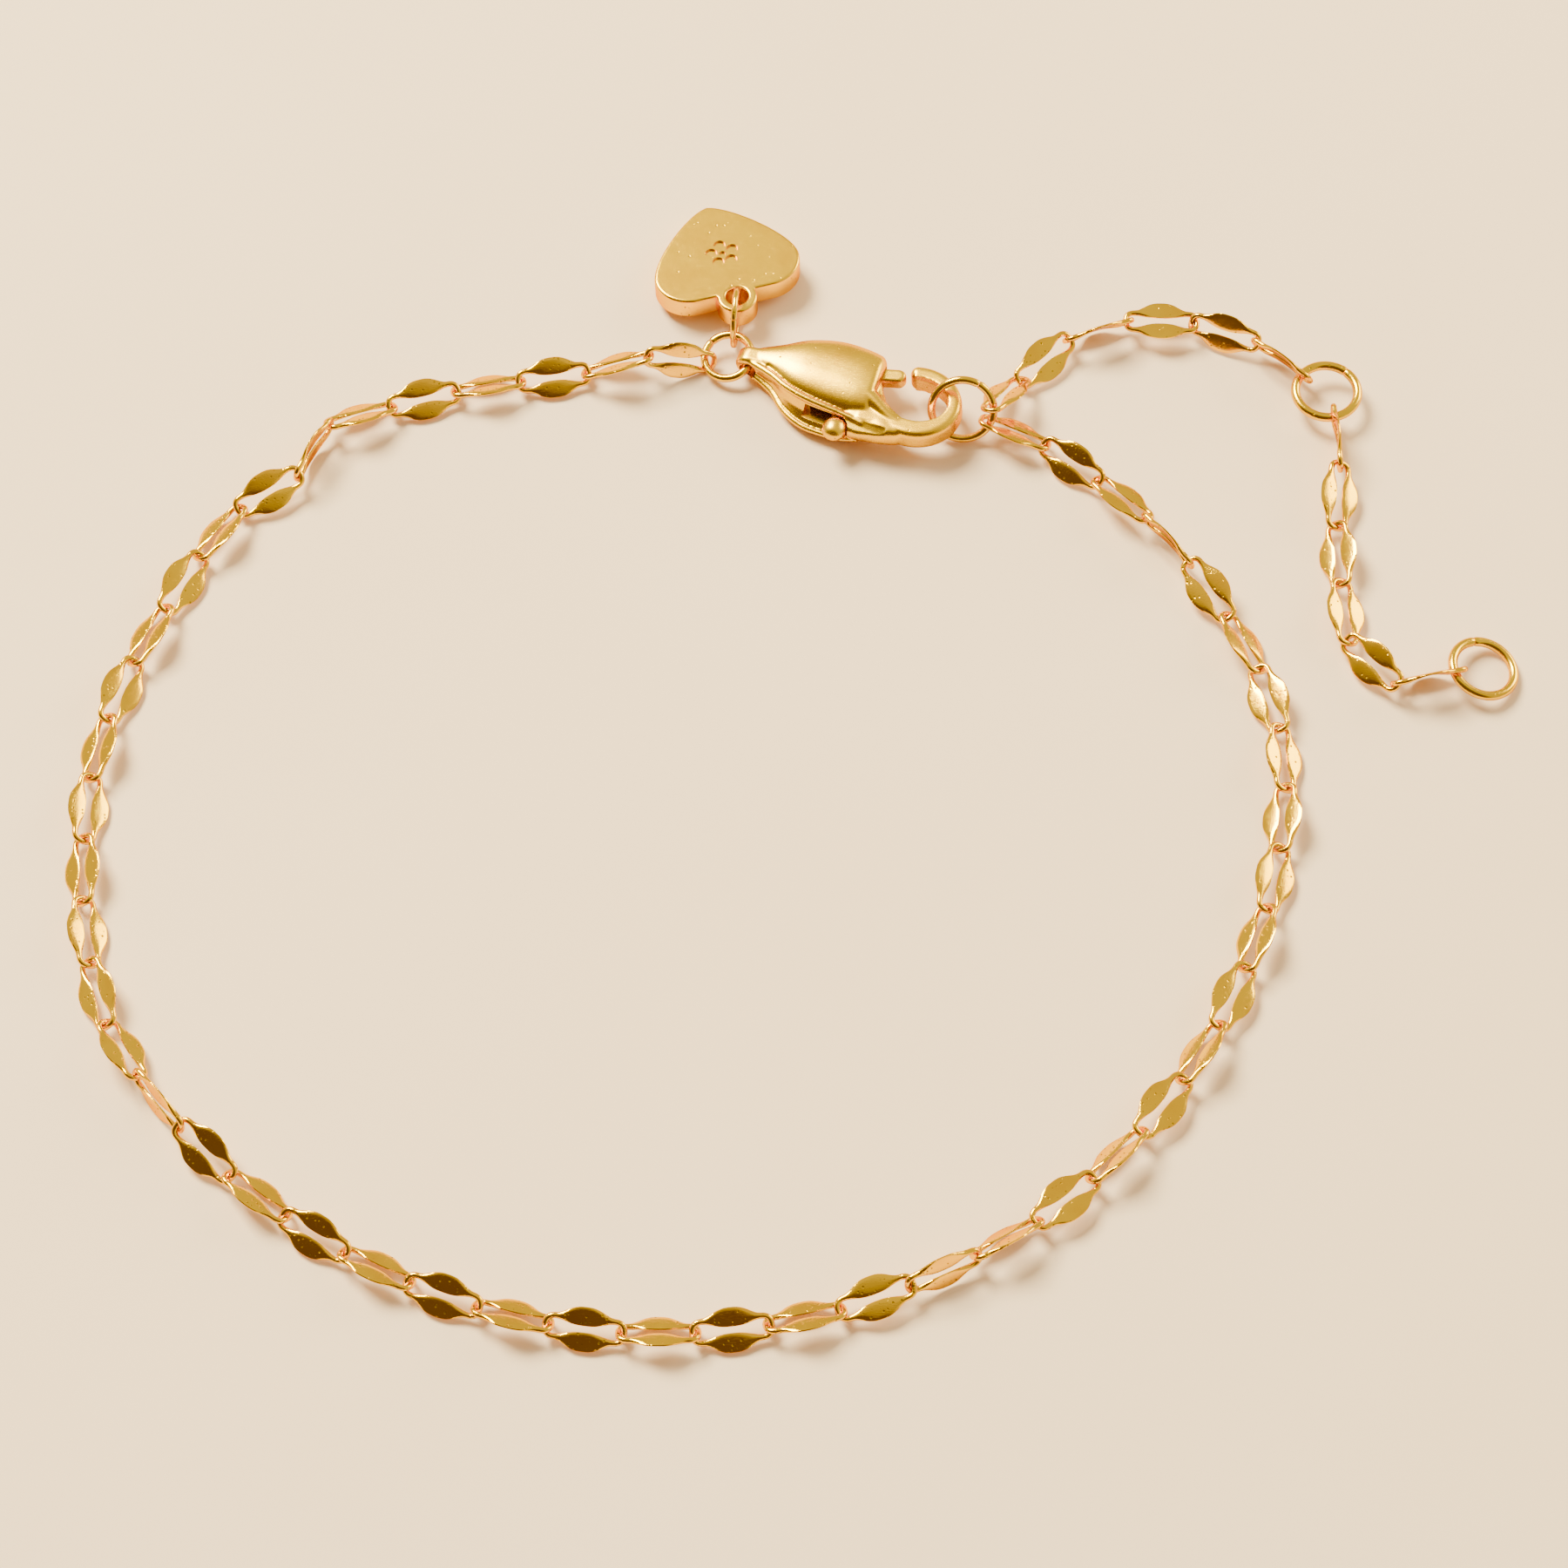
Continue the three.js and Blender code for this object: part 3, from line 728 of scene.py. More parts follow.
@dataclass
class ChainRun:
    """A run of links that follows a route over the table.

    A run that is held at both ends swells its route by a factor within the swell limits. The gauge
    spread is how much wider or thicker than drawn a link may be, as a share.
    """

    node: str
    route: list[Pair]
    rolls: list[Roll]
    link: SequinLink = field(default_factory=SequinLink)
    swell: Pair = (0.6, 1.6)
    gauge_spread: float = 0.012
    samples: int = 24
    rounds: int = 40
    seed: int = 7
    joints: Row = field(default_factory=list)

    def angles(self) -> list[float]:
        """Gives the roll of every link, in degrees."""
        return [angle for roll in self.rolls for angle in roll.degrees()]

    def _heights(self, first: float, last: float | None) -> list[float]:
        """Gives the height of each joint between links.

        Args:
            first: Height of the first joint.
            last: Height of the last joint, if that is held.

        Returns:
            One height for each joint.
        """
        rest = [self.link.resting_height(angle) for angle in self.angles()]
        heights = [first, *(max(pair) for pair in zip(rest, rest[1:]))]
        heights.append(rest[-1] if last is None else last)
        heights[1] = max(heights[1], 2 * rest[0] - first)
        return heights

    def _walk(self, route: Row, heights: list[float]) -> tuple[Row, float]:
        """Walks a route in link pitches.

        Args:
            route: Points of the route, at height 0.
            heights: Height of each joint.

        Returns:
            The joints, and how far past the end of the route the last one lies.
        """
        line = catmull_rom(route, len(route) * self.samples)
        joints = [line[0] + heights[0] * UP]
        segment = 0
        for below, above in zip(heights, heights[1:]):
            at = Vector((joints[-1].x, joints[-1].y, 0.0))
            step = math.sqrt(self.link.pitch**2 - (above - below) ** 2)
            while segment < len(line) - 2 and (line[segment + 1] - at).length < step:
                segment += 1
            along = line[segment + 1] - line[segment]
            offset = line[segment] - at
            a, b = along.length_squared, offset.dot(along)
            c = offset.length_squared - step**2
            share = (-b + math.sqrt(max(b * b - a * c, 0.0))) / a
            joints.append(line[segment] + share * along + above * UP)
        last = Vector((joints[-1].x, joints[-1].y, 0.0))
        tangent = (line[-1] - line[-2]).normalized()
        return joints, (last - line[-1]).dot(tangent)

    def lay(self, start: Vector, end: Vector | None = None) -> None:
        """Lays the chain from its first joint, swelling the loop to fit if both ends are held.

        Args:
            start: First joint.
            end: Last joint, if it is held.
        """
        held = [] if end is None else [end]
        flat = [start, *(Vector((x, y, 0.0)) for x, y in self.route), *held]
        points = [Vector((point.x, point.y, 0.0)) for point in flat]
        heights = self._heights(start.z, None if end is None else end.z)
        if end is None:
            self.joints = self._walk(points, heights)[0]
            return
        low, high = self.swell
        for _ in range(self.rounds):
            middle = (low + high) / 2
            if self._walk(self._swollen(points, middle), heights)[1] > 0:
                low = middle
            else:
                high = middle
        self.joints = self._walk(self._swollen(points, (low + high) / 2), heights)[0]
        self.joints[-1] = end

    @staticmethod
    def _swollen(route: Row, factor: float) -> Row:
        """Swells a route away from the straight line between its ends.

        Args:
            route: Points of the route.
            factor: How many times its own distance from the line each point gets.

        Returns:
            The swollen route.
        """
        last = len(route) - 1
        bases = [route[0].lerp(route[-1], index / last) for index in range(last + 1)]
        return [base + factor * (point - base) for point, base in zip(route, bases)]

    def _turns(self) -> list[tuple[Vector, Quaternion]]:
        """Gives the middle and the turn of each link."""
        turns = []
        for start, end, angle in zip(self.joints, self.joints[1:], self.angles()):
            along = (end - start).normalized()
            left = UP.cross(along).normalized()
            across = Quaternion(along, math.radians(angle)) @ left
            frame = Matrix((along, across, along.cross(across))).transposed()
            turns.append(((start + end) / 2, frame.to_quaternion()))
        return turns

    def _tree(self) -> bpy.types.GeometryNodeTree:
        """Builds the nodes that set a link on each point of the run.

        Returns:
            The node tree, with named inputs for the link, its size and its finish.
        """
        tree = bpy.data.node_groups.new(f"{self.node}_links", "GeometryNodeTree")
        kinds = {
            "Joints": "Geometry",
            "Link": "Object",
            "Link size": "Float",
            "Gauge spread": "Float",
            "Finish": "Material",
        }
        for name, kind in kinds.items():
            tree.interface.new_socket(name, in_out="INPUT", socket_type=f"NodeSocket{kind}")
        tree.interface.new_socket("Chain", in_out="OUTPUT", socket_type="NodeSocketGeometry")
        board = NodeBoard(tree)
        given = board.add("NodeGroupInput", {}).outputs
        shape = board.add("GeometryNodeObjectInfo", {"Object": given["Link"]})
        named = {"Name": "turn"}
        turned = board.add("GeometryNodeInputNamedAttribute", named, data_type="QUATERNION")
        low, high = (
            self._gauge_limit(board, given["Link size"], given["Gauge spread"], way)
            for way in ("SUBTRACT", "ADD")
        )
        spread = {"Seed": self.seed, "Min": low, "Max": high}
        gauge = board.add("FunctionNodeRandomValue", spread, data_type="FLOAT_VECTOR")
        spots = {
            "Points": given["Joints"],
            "Instance": shape.outputs["Geometry"],
            "Rotation": next(out for out in turned.outputs if out.enabled),
            "Scale": next(out for out in gauge.outputs if out.enabled),
        }
        place = board.add("GeometryNodeInstanceOnPoints", spots)
        real = board.add("GeometryNodeRealizeInstances", {"Geometry": place.outputs["Instances"]})
        dressed = {"Geometry": real.outputs["Geometry"], "Material": given["Finish"]}
        coat = board.add("GeometryNodeSetMaterial", dressed)
        board.add("NodeGroupOutput", {"Chain": coat.outputs["Geometry"]})
        return tree

    @staticmethod
    def _gauge_limit(board: NodeBoard, size: Socket, spread: Socket, way: str) -> Socket:
        """Gives one limit of the link sizes, with the pitch itself kept exact.

        Args:
            board: Board of the tree.
            size: Size of a link, 1 for as drawn.
            spread: How much wider or thicker a link may be.
            way: ADD for the upper limit, SUBTRACT for the lower one.

        Returns:
            The limit as a vector: length, width and thickness.
        """
        gauge = board.calc(way, size, spread)
        return board.add("ShaderNodeCombineXYZ", {"X": size, "Y": gauge, "Z": gauge}).outputs[0]

    def build(self, shop: Workshop) -> bpy.types.Object:
        """Builds the run as one finished piece.

        Args:
            shop: Workshop that finishes the piece.

        Returns:
            The piece.
        """
        turns = self._turns()
        joints = bpy.data.meshes.new(f"{self.node}_joints")
        joints.from_pydata([middle for middle, _ in turns], [], [])
        attribute = joints.attributes.new("turn", "QUATERNION", "POINT")
        for index, (_, way) in enumerate(turns):
            attribute.data[index].value = way
        link = object_of("one_link", self.link.mesh())
        run = object_of(f"{self.node}_run", joints)
        maker = run.modifiers.new("links", "NODES")
        maker.node_group = self._tree()
        given = {
            "Link": link,
            "Link size": 1.0,
            "Gauge spread": self.gauge_spread,
            "Finish": shop.material(CHAIN_FINISH),
        }
        for item in maker.node_group.interface.items_tree:
            if item.in_out == "INPUT" and item.name in given:
                maker[item.identifier] = given[item.name]
        chain = evaluated_mesh(run)
        discard(run, link)
        still = Matrix.Identity(4)
        return shop.dress(chain, self.node, still, CHAIN_FINISH, Body.BRACELET)


# Rings


@dataclass
class JumpRing:
    """A ring of round wire, cut once and closed, with its cut just visible.

    The chamfer breaks the edges of the cut, as a share of the wire.
    """

    node: str
    radius: float
    wire: float
    place: Matrix
    cut_angle: float = 90.0
    cut_gap: float = 0.035
    chamfer: float = 0.06
    steps: int = 96
    sides: int = 24

    def point(self, degrees: float) -> Vector:
        """Gives the point of the wire's centreline at an angle round the ring."""
        angle = math.radians(degrees)
        x, y = self.radius * math.cos(angle), self.radius * math.sin(angle)
        return self.place @ Vector((x, y, 0.0))

    def seat(self, degrees: float, rise: float, towards: Pair) -> Vector:
        """Gives the first joint of a chain whose link pulls on the ring from behind its wire.

        Args:
            degrees: Where the link sits, round the ring.
            rise: How steeply the link leaves the ring, in degrees.
            towards: Point of the table that the chain heads for.

        Returns:
            The joint.
        """
        point = self.point(degrees)
        pull = Vector((towards[0] - point.x, towards[1] - point.y, 0.0)).normalized()
        pull.z = math.tan(math.radians(rise))
        return point - pull.normalized() * (self.wire / 2 + RING_GAP)

    def build(self, shop: Workshop) -> bpy.types.Object:
        """Builds the ring as a finished piece.

        Args:
            shop: Workshop that finishes the piece.

        Returns:
            The piece.
        """
        half_cut = self.cut_gap / self.radius / 2
        edge = self.wire * self.chamfer
        rows = []
        for step in range(self.steps + 1):
            angle = math.radians(self.cut_angle) + half_cut
            angle += (2 * math.pi - 2 * half_cut) * step / self.steps
            way = Vector((math.cos(angle), math.sin(angle), 0.0))
            radius = self.wire / 2 - (edge if step in (0, self.steps) else 0.0)
            row = []
            for side in range(self.sides):
                around = 2 * math.pi * side / self.sides
                out = self.radius + radius * math.cos(around)
                row.append(out * way + radius * math.sin(around) * UP)
            rows.append(row)
        ring = skin(rows, False)
        return shop.dress(ring, self.node, self.place, RING_FINISH, Body.BRACELET)

def ring_after(node: str, run: ChainRun, far_height: float) -> JumpRing:
    """Lays a plain ring on the table beyond the free end of a chain.

    Args:
        node: Name of the ring's node.
        run: Chain whose last link holds the ring.
        far_height: Height of the ring's far side.

    Returns:
        The ring.
    """
    before, joint = run.joints[-2:]
    heading = math.atan2(joint.y - before.y, joint.x - before.x)
    slope = math.asin((far_height - joint.z) / (2 * PLAIN_RING_RADIUS))
    turned = Matrix.Rotation(heading, 4, "Z") @ Matrix.Rotation(-slope, 4, "Y")
    forward = turned @ Vector((PLAIN_RING_RADIUS, 0.0, 0.0))
    back = (before - joint).normalized()
    centre = joint + back * (PLAIN_RING_WIRE / 2 + RING_GAP) + forward
    return JumpRing(node, PLAIN_RING_RADIUS, PLAIN_RING_WIRE, Matrix.Translation(centre) @ turned)


# Clasp


@dataclass
class LobsterClasp:
    """A cast lobster clasp with a sprung lever, drawn with x from its eye to its hook.

    Sections are (x, near side, far side, half height). Radii and spans run from the start of a bar
    or an arc to its end, and the hook's two ellipses are a centre and two radii. A melt is the grain
    of a casting and its rounds of smoothing.
    """

    x: float = -2.74
    y: float = 21.67
    heading: float = -17.5
    pitch: float = 3.2
    eye_height: float = 0.9
    eye_x: float = 0.16
    eye_bore: float = 0.44
    eye_wall: float = 0.24
    eye_breadth: float = 1.0
    eye_edge: float = 0.24
    eye_root: float = 1.1
    ring_lean: float = 12.0
    hook_thickness: float = 1.3
    hook_edge: float = 0.3
    hook_outer: tuple[Pair, Pair] = ((9.0, -0.49), (2.3, 2.12))
    hook_outer_span: Pair = (99.0, -118.0)
    hook_inner: tuple[Pair, Pair] = ((8.95, -0.4), (1.62, 1.25))
    hook_inner_span: Pair = (-166.0, 102.0)
    hook_stem: tuple[Pair, Pair] = ((6.3, -2.5), (6.3, -1.5))
    pivot: Pair = (5.3, 0.45)
    pin_radius: float = 0.3
    pin_gap: float = 0.1
    hub_radius: float = 0.75
    lever_thickness: float = 0.74
    lever_gap: float = 0.07
    swing: float = 24.0
    swing_bulge: float = 1.05
    arm_edge: float = 0.2
    gate_heading: float = 10.8
    gate_length: float = 2.8
    gate_width: float = 0.8
    gate_slot_reach: float = 2.4
    knob_heading: float = -86.8
    knob_reach: float = 3.42
    knob_radius: float = 0.6
    knob_fullness: float = 2.3
    knob_flat: float = 0.8
    knob_lift: float = 0.2
    knob_arm_width: float = 0.7
    knob_arm_thickness: float = 0.5
    knob_slot_reach: float = 4.6
    nose_size: float = 0.72
    dome_fullness: float = 2.5
    dome_nose: float = 0.35
    rim_fullness: float = 3.0
    rim_nose: float = 0.3
    ridge_radii: Pair = (0.2, 0.16)
    foot_radii: Pair = (0.2, 0.14)
    cove_radii: Pair = (1.0, 1.0)
    shoulder_radii: Pair = (0.52, 0.26)
    wall_hollow: float = 0.1
    wall_base: float = 0.3
    wall_back: float = 0.3
    housing_melt: tuple[float, int] = (0.05, 3)
    body_melt: tuple[float, int] = (0.045, 6)
    lever_melt: tuple[float, int] = (0.035, 3)
    loft_steps: int = 80
    loft_sides: int = 56
    wall_steps: int = 60
    hook_steps: int = 60
    eye_steps: int = 32
    arm_steps: int = 24
    tip_steps: int = 16
    knob_steps: int = 24
    knob_sides: int = 32
    dome: tuple[Section, ...] = (
        (0.35, -0.45, 0.62, 0.64), (1.6, -0.95, 1.15, 0.88), (2.9, -1.6, 1.8, 1.05),
        (4.5, -1.98, 2.12, 1.1), (6.0, -2.1, 1.98, 1.1), (6.95, -2.0, 1.72, 1.04),
    )
    rim: tuple[Section, ...] = (
        (5.75, -2.92, 1.5, 0.64), (6.4, -3.04, 1.55, 0.68), (7.1, -3.0, 0.2, 0.66),
        (7.9, -2.9, -1.35, 0.65), (8.8, -2.68, -1.75, 0.6),
    )
    ridge: tuple[Point, ...] = (
        (0.25, -0.32, 0.42), (1.6, -0.92, 0.58), (2.5, -1.42, 0.62), (3.6, -1.8, 0.6),
        (4.6, -2.0, 0.56), (5.6, -2.16, 0.5), (6.8, -2.44, 0.44),
    )
    foot: tuple[Point, ...] = (
        (0.25, -0.4, -0.4), (1.6, -1.15, -0.5), (2.5, -2.05, -0.58), (3.6, -2.66, -0.62),
        (4.6, -2.84, -0.62), (5.6, -2.9, -0.6), (6.6, -2.8, -0.5),
    )
    cove: tuple[Point, ...] = (
        (0.9, -0.95, 1.45), (1.6, -1.22, 1.56), (2.5, -1.72, 1.6), (3.6, -2.1, 1.58),
        (4.6, -2.3, 1.54), (5.6, -2.6, 1.46), (6.8, -2.98, 1.38), (8.0, -3.15, 1.36),
    )
    shoulder: tuple[Point, ...] = (
        (5.8, -0.6, 0.56), (6.6, -0.86, 0.57), (7.2, -1.2, 0.53), (8.0, -1.7, 0.42),
        (8.8, -1.98, 0.36),
    )

    @property
    def place(self) -> Matrix:
        """The clasp's place in the drawing frame."""
        eye = Matrix.Translation((self.x, self.y, self.eye_height))
        return eye @ turn("Z", self.heading) @ turn("Y", -self.pitch)

    def _loft(self, sections: tuple[Section, ...], fullness: float, nose: float) -> bpy.types.Mesh:
        """Lofts a body along x through rounded-box sections, with its ends rounded off.

        Args:
            sections: Sections from the eye to the hook.
            fullness: How boxy the sections are.
            nose: Length over which each end is rounded off.

        Returns:
            The body.
        """
        line = catmull_rom([Vector(section) for section in sections], self.loft_steps)
        first, last = line[0][0], line[-1][0]
        rows = []
        for x, near, far, rise in line:
            close = min(max(min(x - first, last - x) / nose, 0.0), 1.0)
            size = self.nose_size + (1 - self.nose_size) * math.sqrt(1 - (1 - close) ** 2)
            row = []
            for side in range(self.loft_sides):
                across, up = superpoint(2 * math.pi * side / self.loft_sides, fullness)
                y = (near + far) / 2 + (far - near) / 2 * across * size
                row.append(Vector((x, y, rise * up * size)))
            rows.append(row)
        return skin(rows, False)

    def _wall(self) -> bpy.types.Mesh:
        """Makes the hollow sloping wall that runs down from the ridge to the foot."""
        tops, toes = (
            catmull_rom([Vector(point) for point in edge], self.wall_steps)
            for edge in (self.ridge, self.foot)
        )
        rows = []
        for top, toe in zip(tops, toes):
            hollow = top.lerp(toe, 0.5) + self.wall_hollow * Vector((0.0, 1.0, -1.0))
            base = toe - self.wall_base * UP
            back = (Vector((point.x, self.wall_back, point.z)) for point in (base, top))
            rows.append([top, hollow, toe, base, *back])
        return skin(rows, False)

    def _eye(self) -> bpy.types.Mesh:
        """Makes the rounded lug that the bore goes through."""
        radius = self.eye_bore + self.eye_wall
        arc = ellipse_arc((self.eye_x, 0.0), (radius, radius), 90, 270, self.eye_steps)
        root = self.eye_x + self.eye_root
        outline = [Vector((root, radius, 0)), *arc, Vector((root, -radius, 0))]
        lug = rounded_plate(outline, self.eye_breadth, self.eye_edge)
        lug.transform(turn("X", 90))
        return outward(lug)

    def _hook(self) -> bpy.types.Mesh:
        """Makes the hook as a plate with soft edges and a round tip."""
        outer = ellipse_arc(*self.hook_outer, *self.hook_outer_span, self.hook_steps)
        inner = ellipse_arc(*self.hook_inner, *self.hook_inner_span, self.hook_steps)
        middle, reach = (outer[0] + inner[-1]) / 2, (outer[0] - inner[-1]).length / 2
        tip = ellipse_arc((middle.x, middle.y), (reach, reach), -90, -270, self.tip_steps)
        stem = [Vector((x, y, 0)) for x, y in self.hook_stem]
        outline = [*outer, *stem, *inner, *tip[1:-1]]
        return rounded_plate(outline[::-1], self.hook_thickness, self.hook_edge)

    def _bore(self) -> bpy.types.Mesh:
        """Makes the round cutter for the eye, in line with the ring that it holds."""
        bore = disc((0.0, 0.0), self.eye_bore, 4 * self.eye_breadth)
        bore.transform(Matrix.Translation((self.eye_x, 0, 0)) @ turn("X", 90 + self.ring_lean))
        return bore

    def _swept_arm(
        self, heading: float, width: float, inner: float, reach: float, height: float
    ) -> bpy.types.Mesh:
        """Makes the wedge that an arm of the lever sweeps between its limits.

        Args:
            heading: Direction of the arm when the clasp is shut, in degrees.
            width: Width of the arm.
            inner: Distance from the pivot where the wedge starts.
            reach: Distance from the pivot where it ends.
            height: Full height of the wedge.

        Returns:
            The wedge.
        """
        half = width / 2 + self.lever_gap
        shut, open_ = math.radians(heading), math.radians(heading - self.swing)
        middle = (shut + open_) / 2

        def corner(angle: float, along: float, side: float) -> Vector:
            """Gives a point beside the arm's line at an angle."""
            x = self.pivot[0] + along * math.cos(angle) - side * math.sin(angle)
            y = self.pivot[1] + along * math.sin(angle) + side * math.cos(angle)
            return Vector((x, y, 0.0))

        outline = [
            corner(open_, inner, -half),
            corner(open_, reach, -half),
            corner(middle, reach * self.swing_bulge, 0),
            corner(shut, reach, half),
            corner(shut, inner, half),
        ]
        return prism(outline, height)

    def _bar(self, heading: float, length: float, width: float, thickness: float) -> bpy.types.Mesh:
        """Makes a round-ended arm of the lever.

        Args:
            heading: Direction of the arm, in degrees.
            length: Reach from the pivot.
            width: Width of the arm.
            thickness: Thickness of the arm.

        Returns:
            The arm.
        """
        half = width / 2
        tip = ellipse_arc((length - half, 0.0), (half, half), -90, 90, self.arm_steps)
        start = [Vector((0, half, 0)), Vector((0, -half, 0))]
        arm = rounded_plate([*tip, *start], thickness, self.arm_edge)
        arm.transform(Matrix.Translation((*self.pivot, 0)) @ turn("Z", heading))
        return arm

    def _knob_place(self) -> Matrix:
        """Gives the knob's place beside the clasp when the clasp is shut."""
        heading = math.radians(self.knob_heading)
        x = self.pivot[0] + self.knob_reach * math.cos(heading)
        y = self.pivot[1] + self.knob_reach * math.sin(heading)
        return Matrix.Translation((x, y, self.knob_lift)) @ turn("Z", self.knob_heading)

    def _knob_notch(self) -> bpy.types.Mesh:
        """Makes the cutter for the notch that clears the knob's top and its outer side."""
        notch = disc((0.0, 0.0), self.knob_radius + self.lever_gap, 2 * self.knob_radius)
        notch.transform(self._knob_place() @ Matrix.Translation((0, 0, self.knob_lift)))
        return notch

    def _knob(self) -> bpy.types.Mesh:
        """Makes the thumb knob, a turned bead with a slightly flattened face."""
        radius = self.knob_radius
        angles = [2 * math.pi * side / self.knob_sides for side in range(self.knob_sides)]
        rows = []
        for step in range(1, self.knob_steps):
            angle = math.pi * step / self.knob_steps
            out, along = superpoint(angle - math.pi / 2, self.knob_fullness)
            rise = self.knob_flat * radius * out
            rows.append([
                Vector((radius * along, radius * out * math.cos(a), rise * math.sin(a)))
                for a in angles
            ])
        bead = skin(rows, False)
        bead.transform(self._knob_place())
        return bead

    def build(self, shop: Workshop) -> list[bpy.types.Object]:
        """Builds the clasp's body and its lever as finished pieces.

        Args:
            shop: Workshop that finishes the pieces.

        Returns:
            The body and the lever.
        """
        dome = self._loft(self.dome, self.dome_fullness, self.dome_nose)
        rim = self._loft(self.rim, self.rim_fullness, self.rim_nose)
        ridge, foot, cove, shoulder = (
            tube(path, radii)
            for path, radii in (
                (self.ridge, self.ridge_radii),
                (self.foot, self.foot_radii),
                (self.cove, self.cove_radii),
                (self.shoulder, self.shoulder_radii),
            )
        )
        housing = carved(melted([dome, rim, shoulder, self._hook()], *self.housing_melt), [cove])
        cast = melted([housing, self._wall(), ridge, foot, self._eye()], *self.body_melt)
        slot = self.lever_thickness + 2 * self.lever_gap
        knob_slot = self.knob_arm_thickness + 2 * self.lever_gap
        knob_start = self.knob_reach - self.knob_radius
        cutters = [
            disc(self.pivot, self.hub_radius + self.lever_gap, slot),
            self._swept_arm(self.gate_heading, self.gate_width, 0, self.gate_slot_reach, slot),
            self._swept_arm(
                self.knob_heading, self.knob_arm_width, 0, self.knob_slot_reach, knob_slot
            ),
            self._swept_arm(
                self.knob_heading, 2 * self.knob_radius, knob_start, self.knob_slot_reach, knob_slot
            ),
            self._knob_notch(),
            self._bore(),
        ]
        pin = disc(self.pivot, self.pin_radius, slot + 2 * self.lever_gap)
        body = joined([carved(cast, cutters), pin])

        hub = disc(self.pivot, self.hub_radius, self.lever_thickness)
        gate = self._bar(self.gate_heading, self.gate_length, self.gate_width, self.lever_thickness)
        arm = self._bar(
            self.knob_heading, self.knob_reach, self.knob_arm_width, self.knob_arm_thickness
        )
        hole = disc(self.pivot, self.pin_radius + self.pin_gap, 2 * self.lever_thickness)
        lever = carved(melted([hub, gate, arm, self._knob()], *self.lever_melt), [hole])
        return [
            shop.dress(body, "clasp_body", self.place, CLASP_FINISH, Body.BRACELET),
            shop.dress(lever, "clasp_lever", self.place, CLASP_FINISH, Body.LEVER),
        ]


# Charm


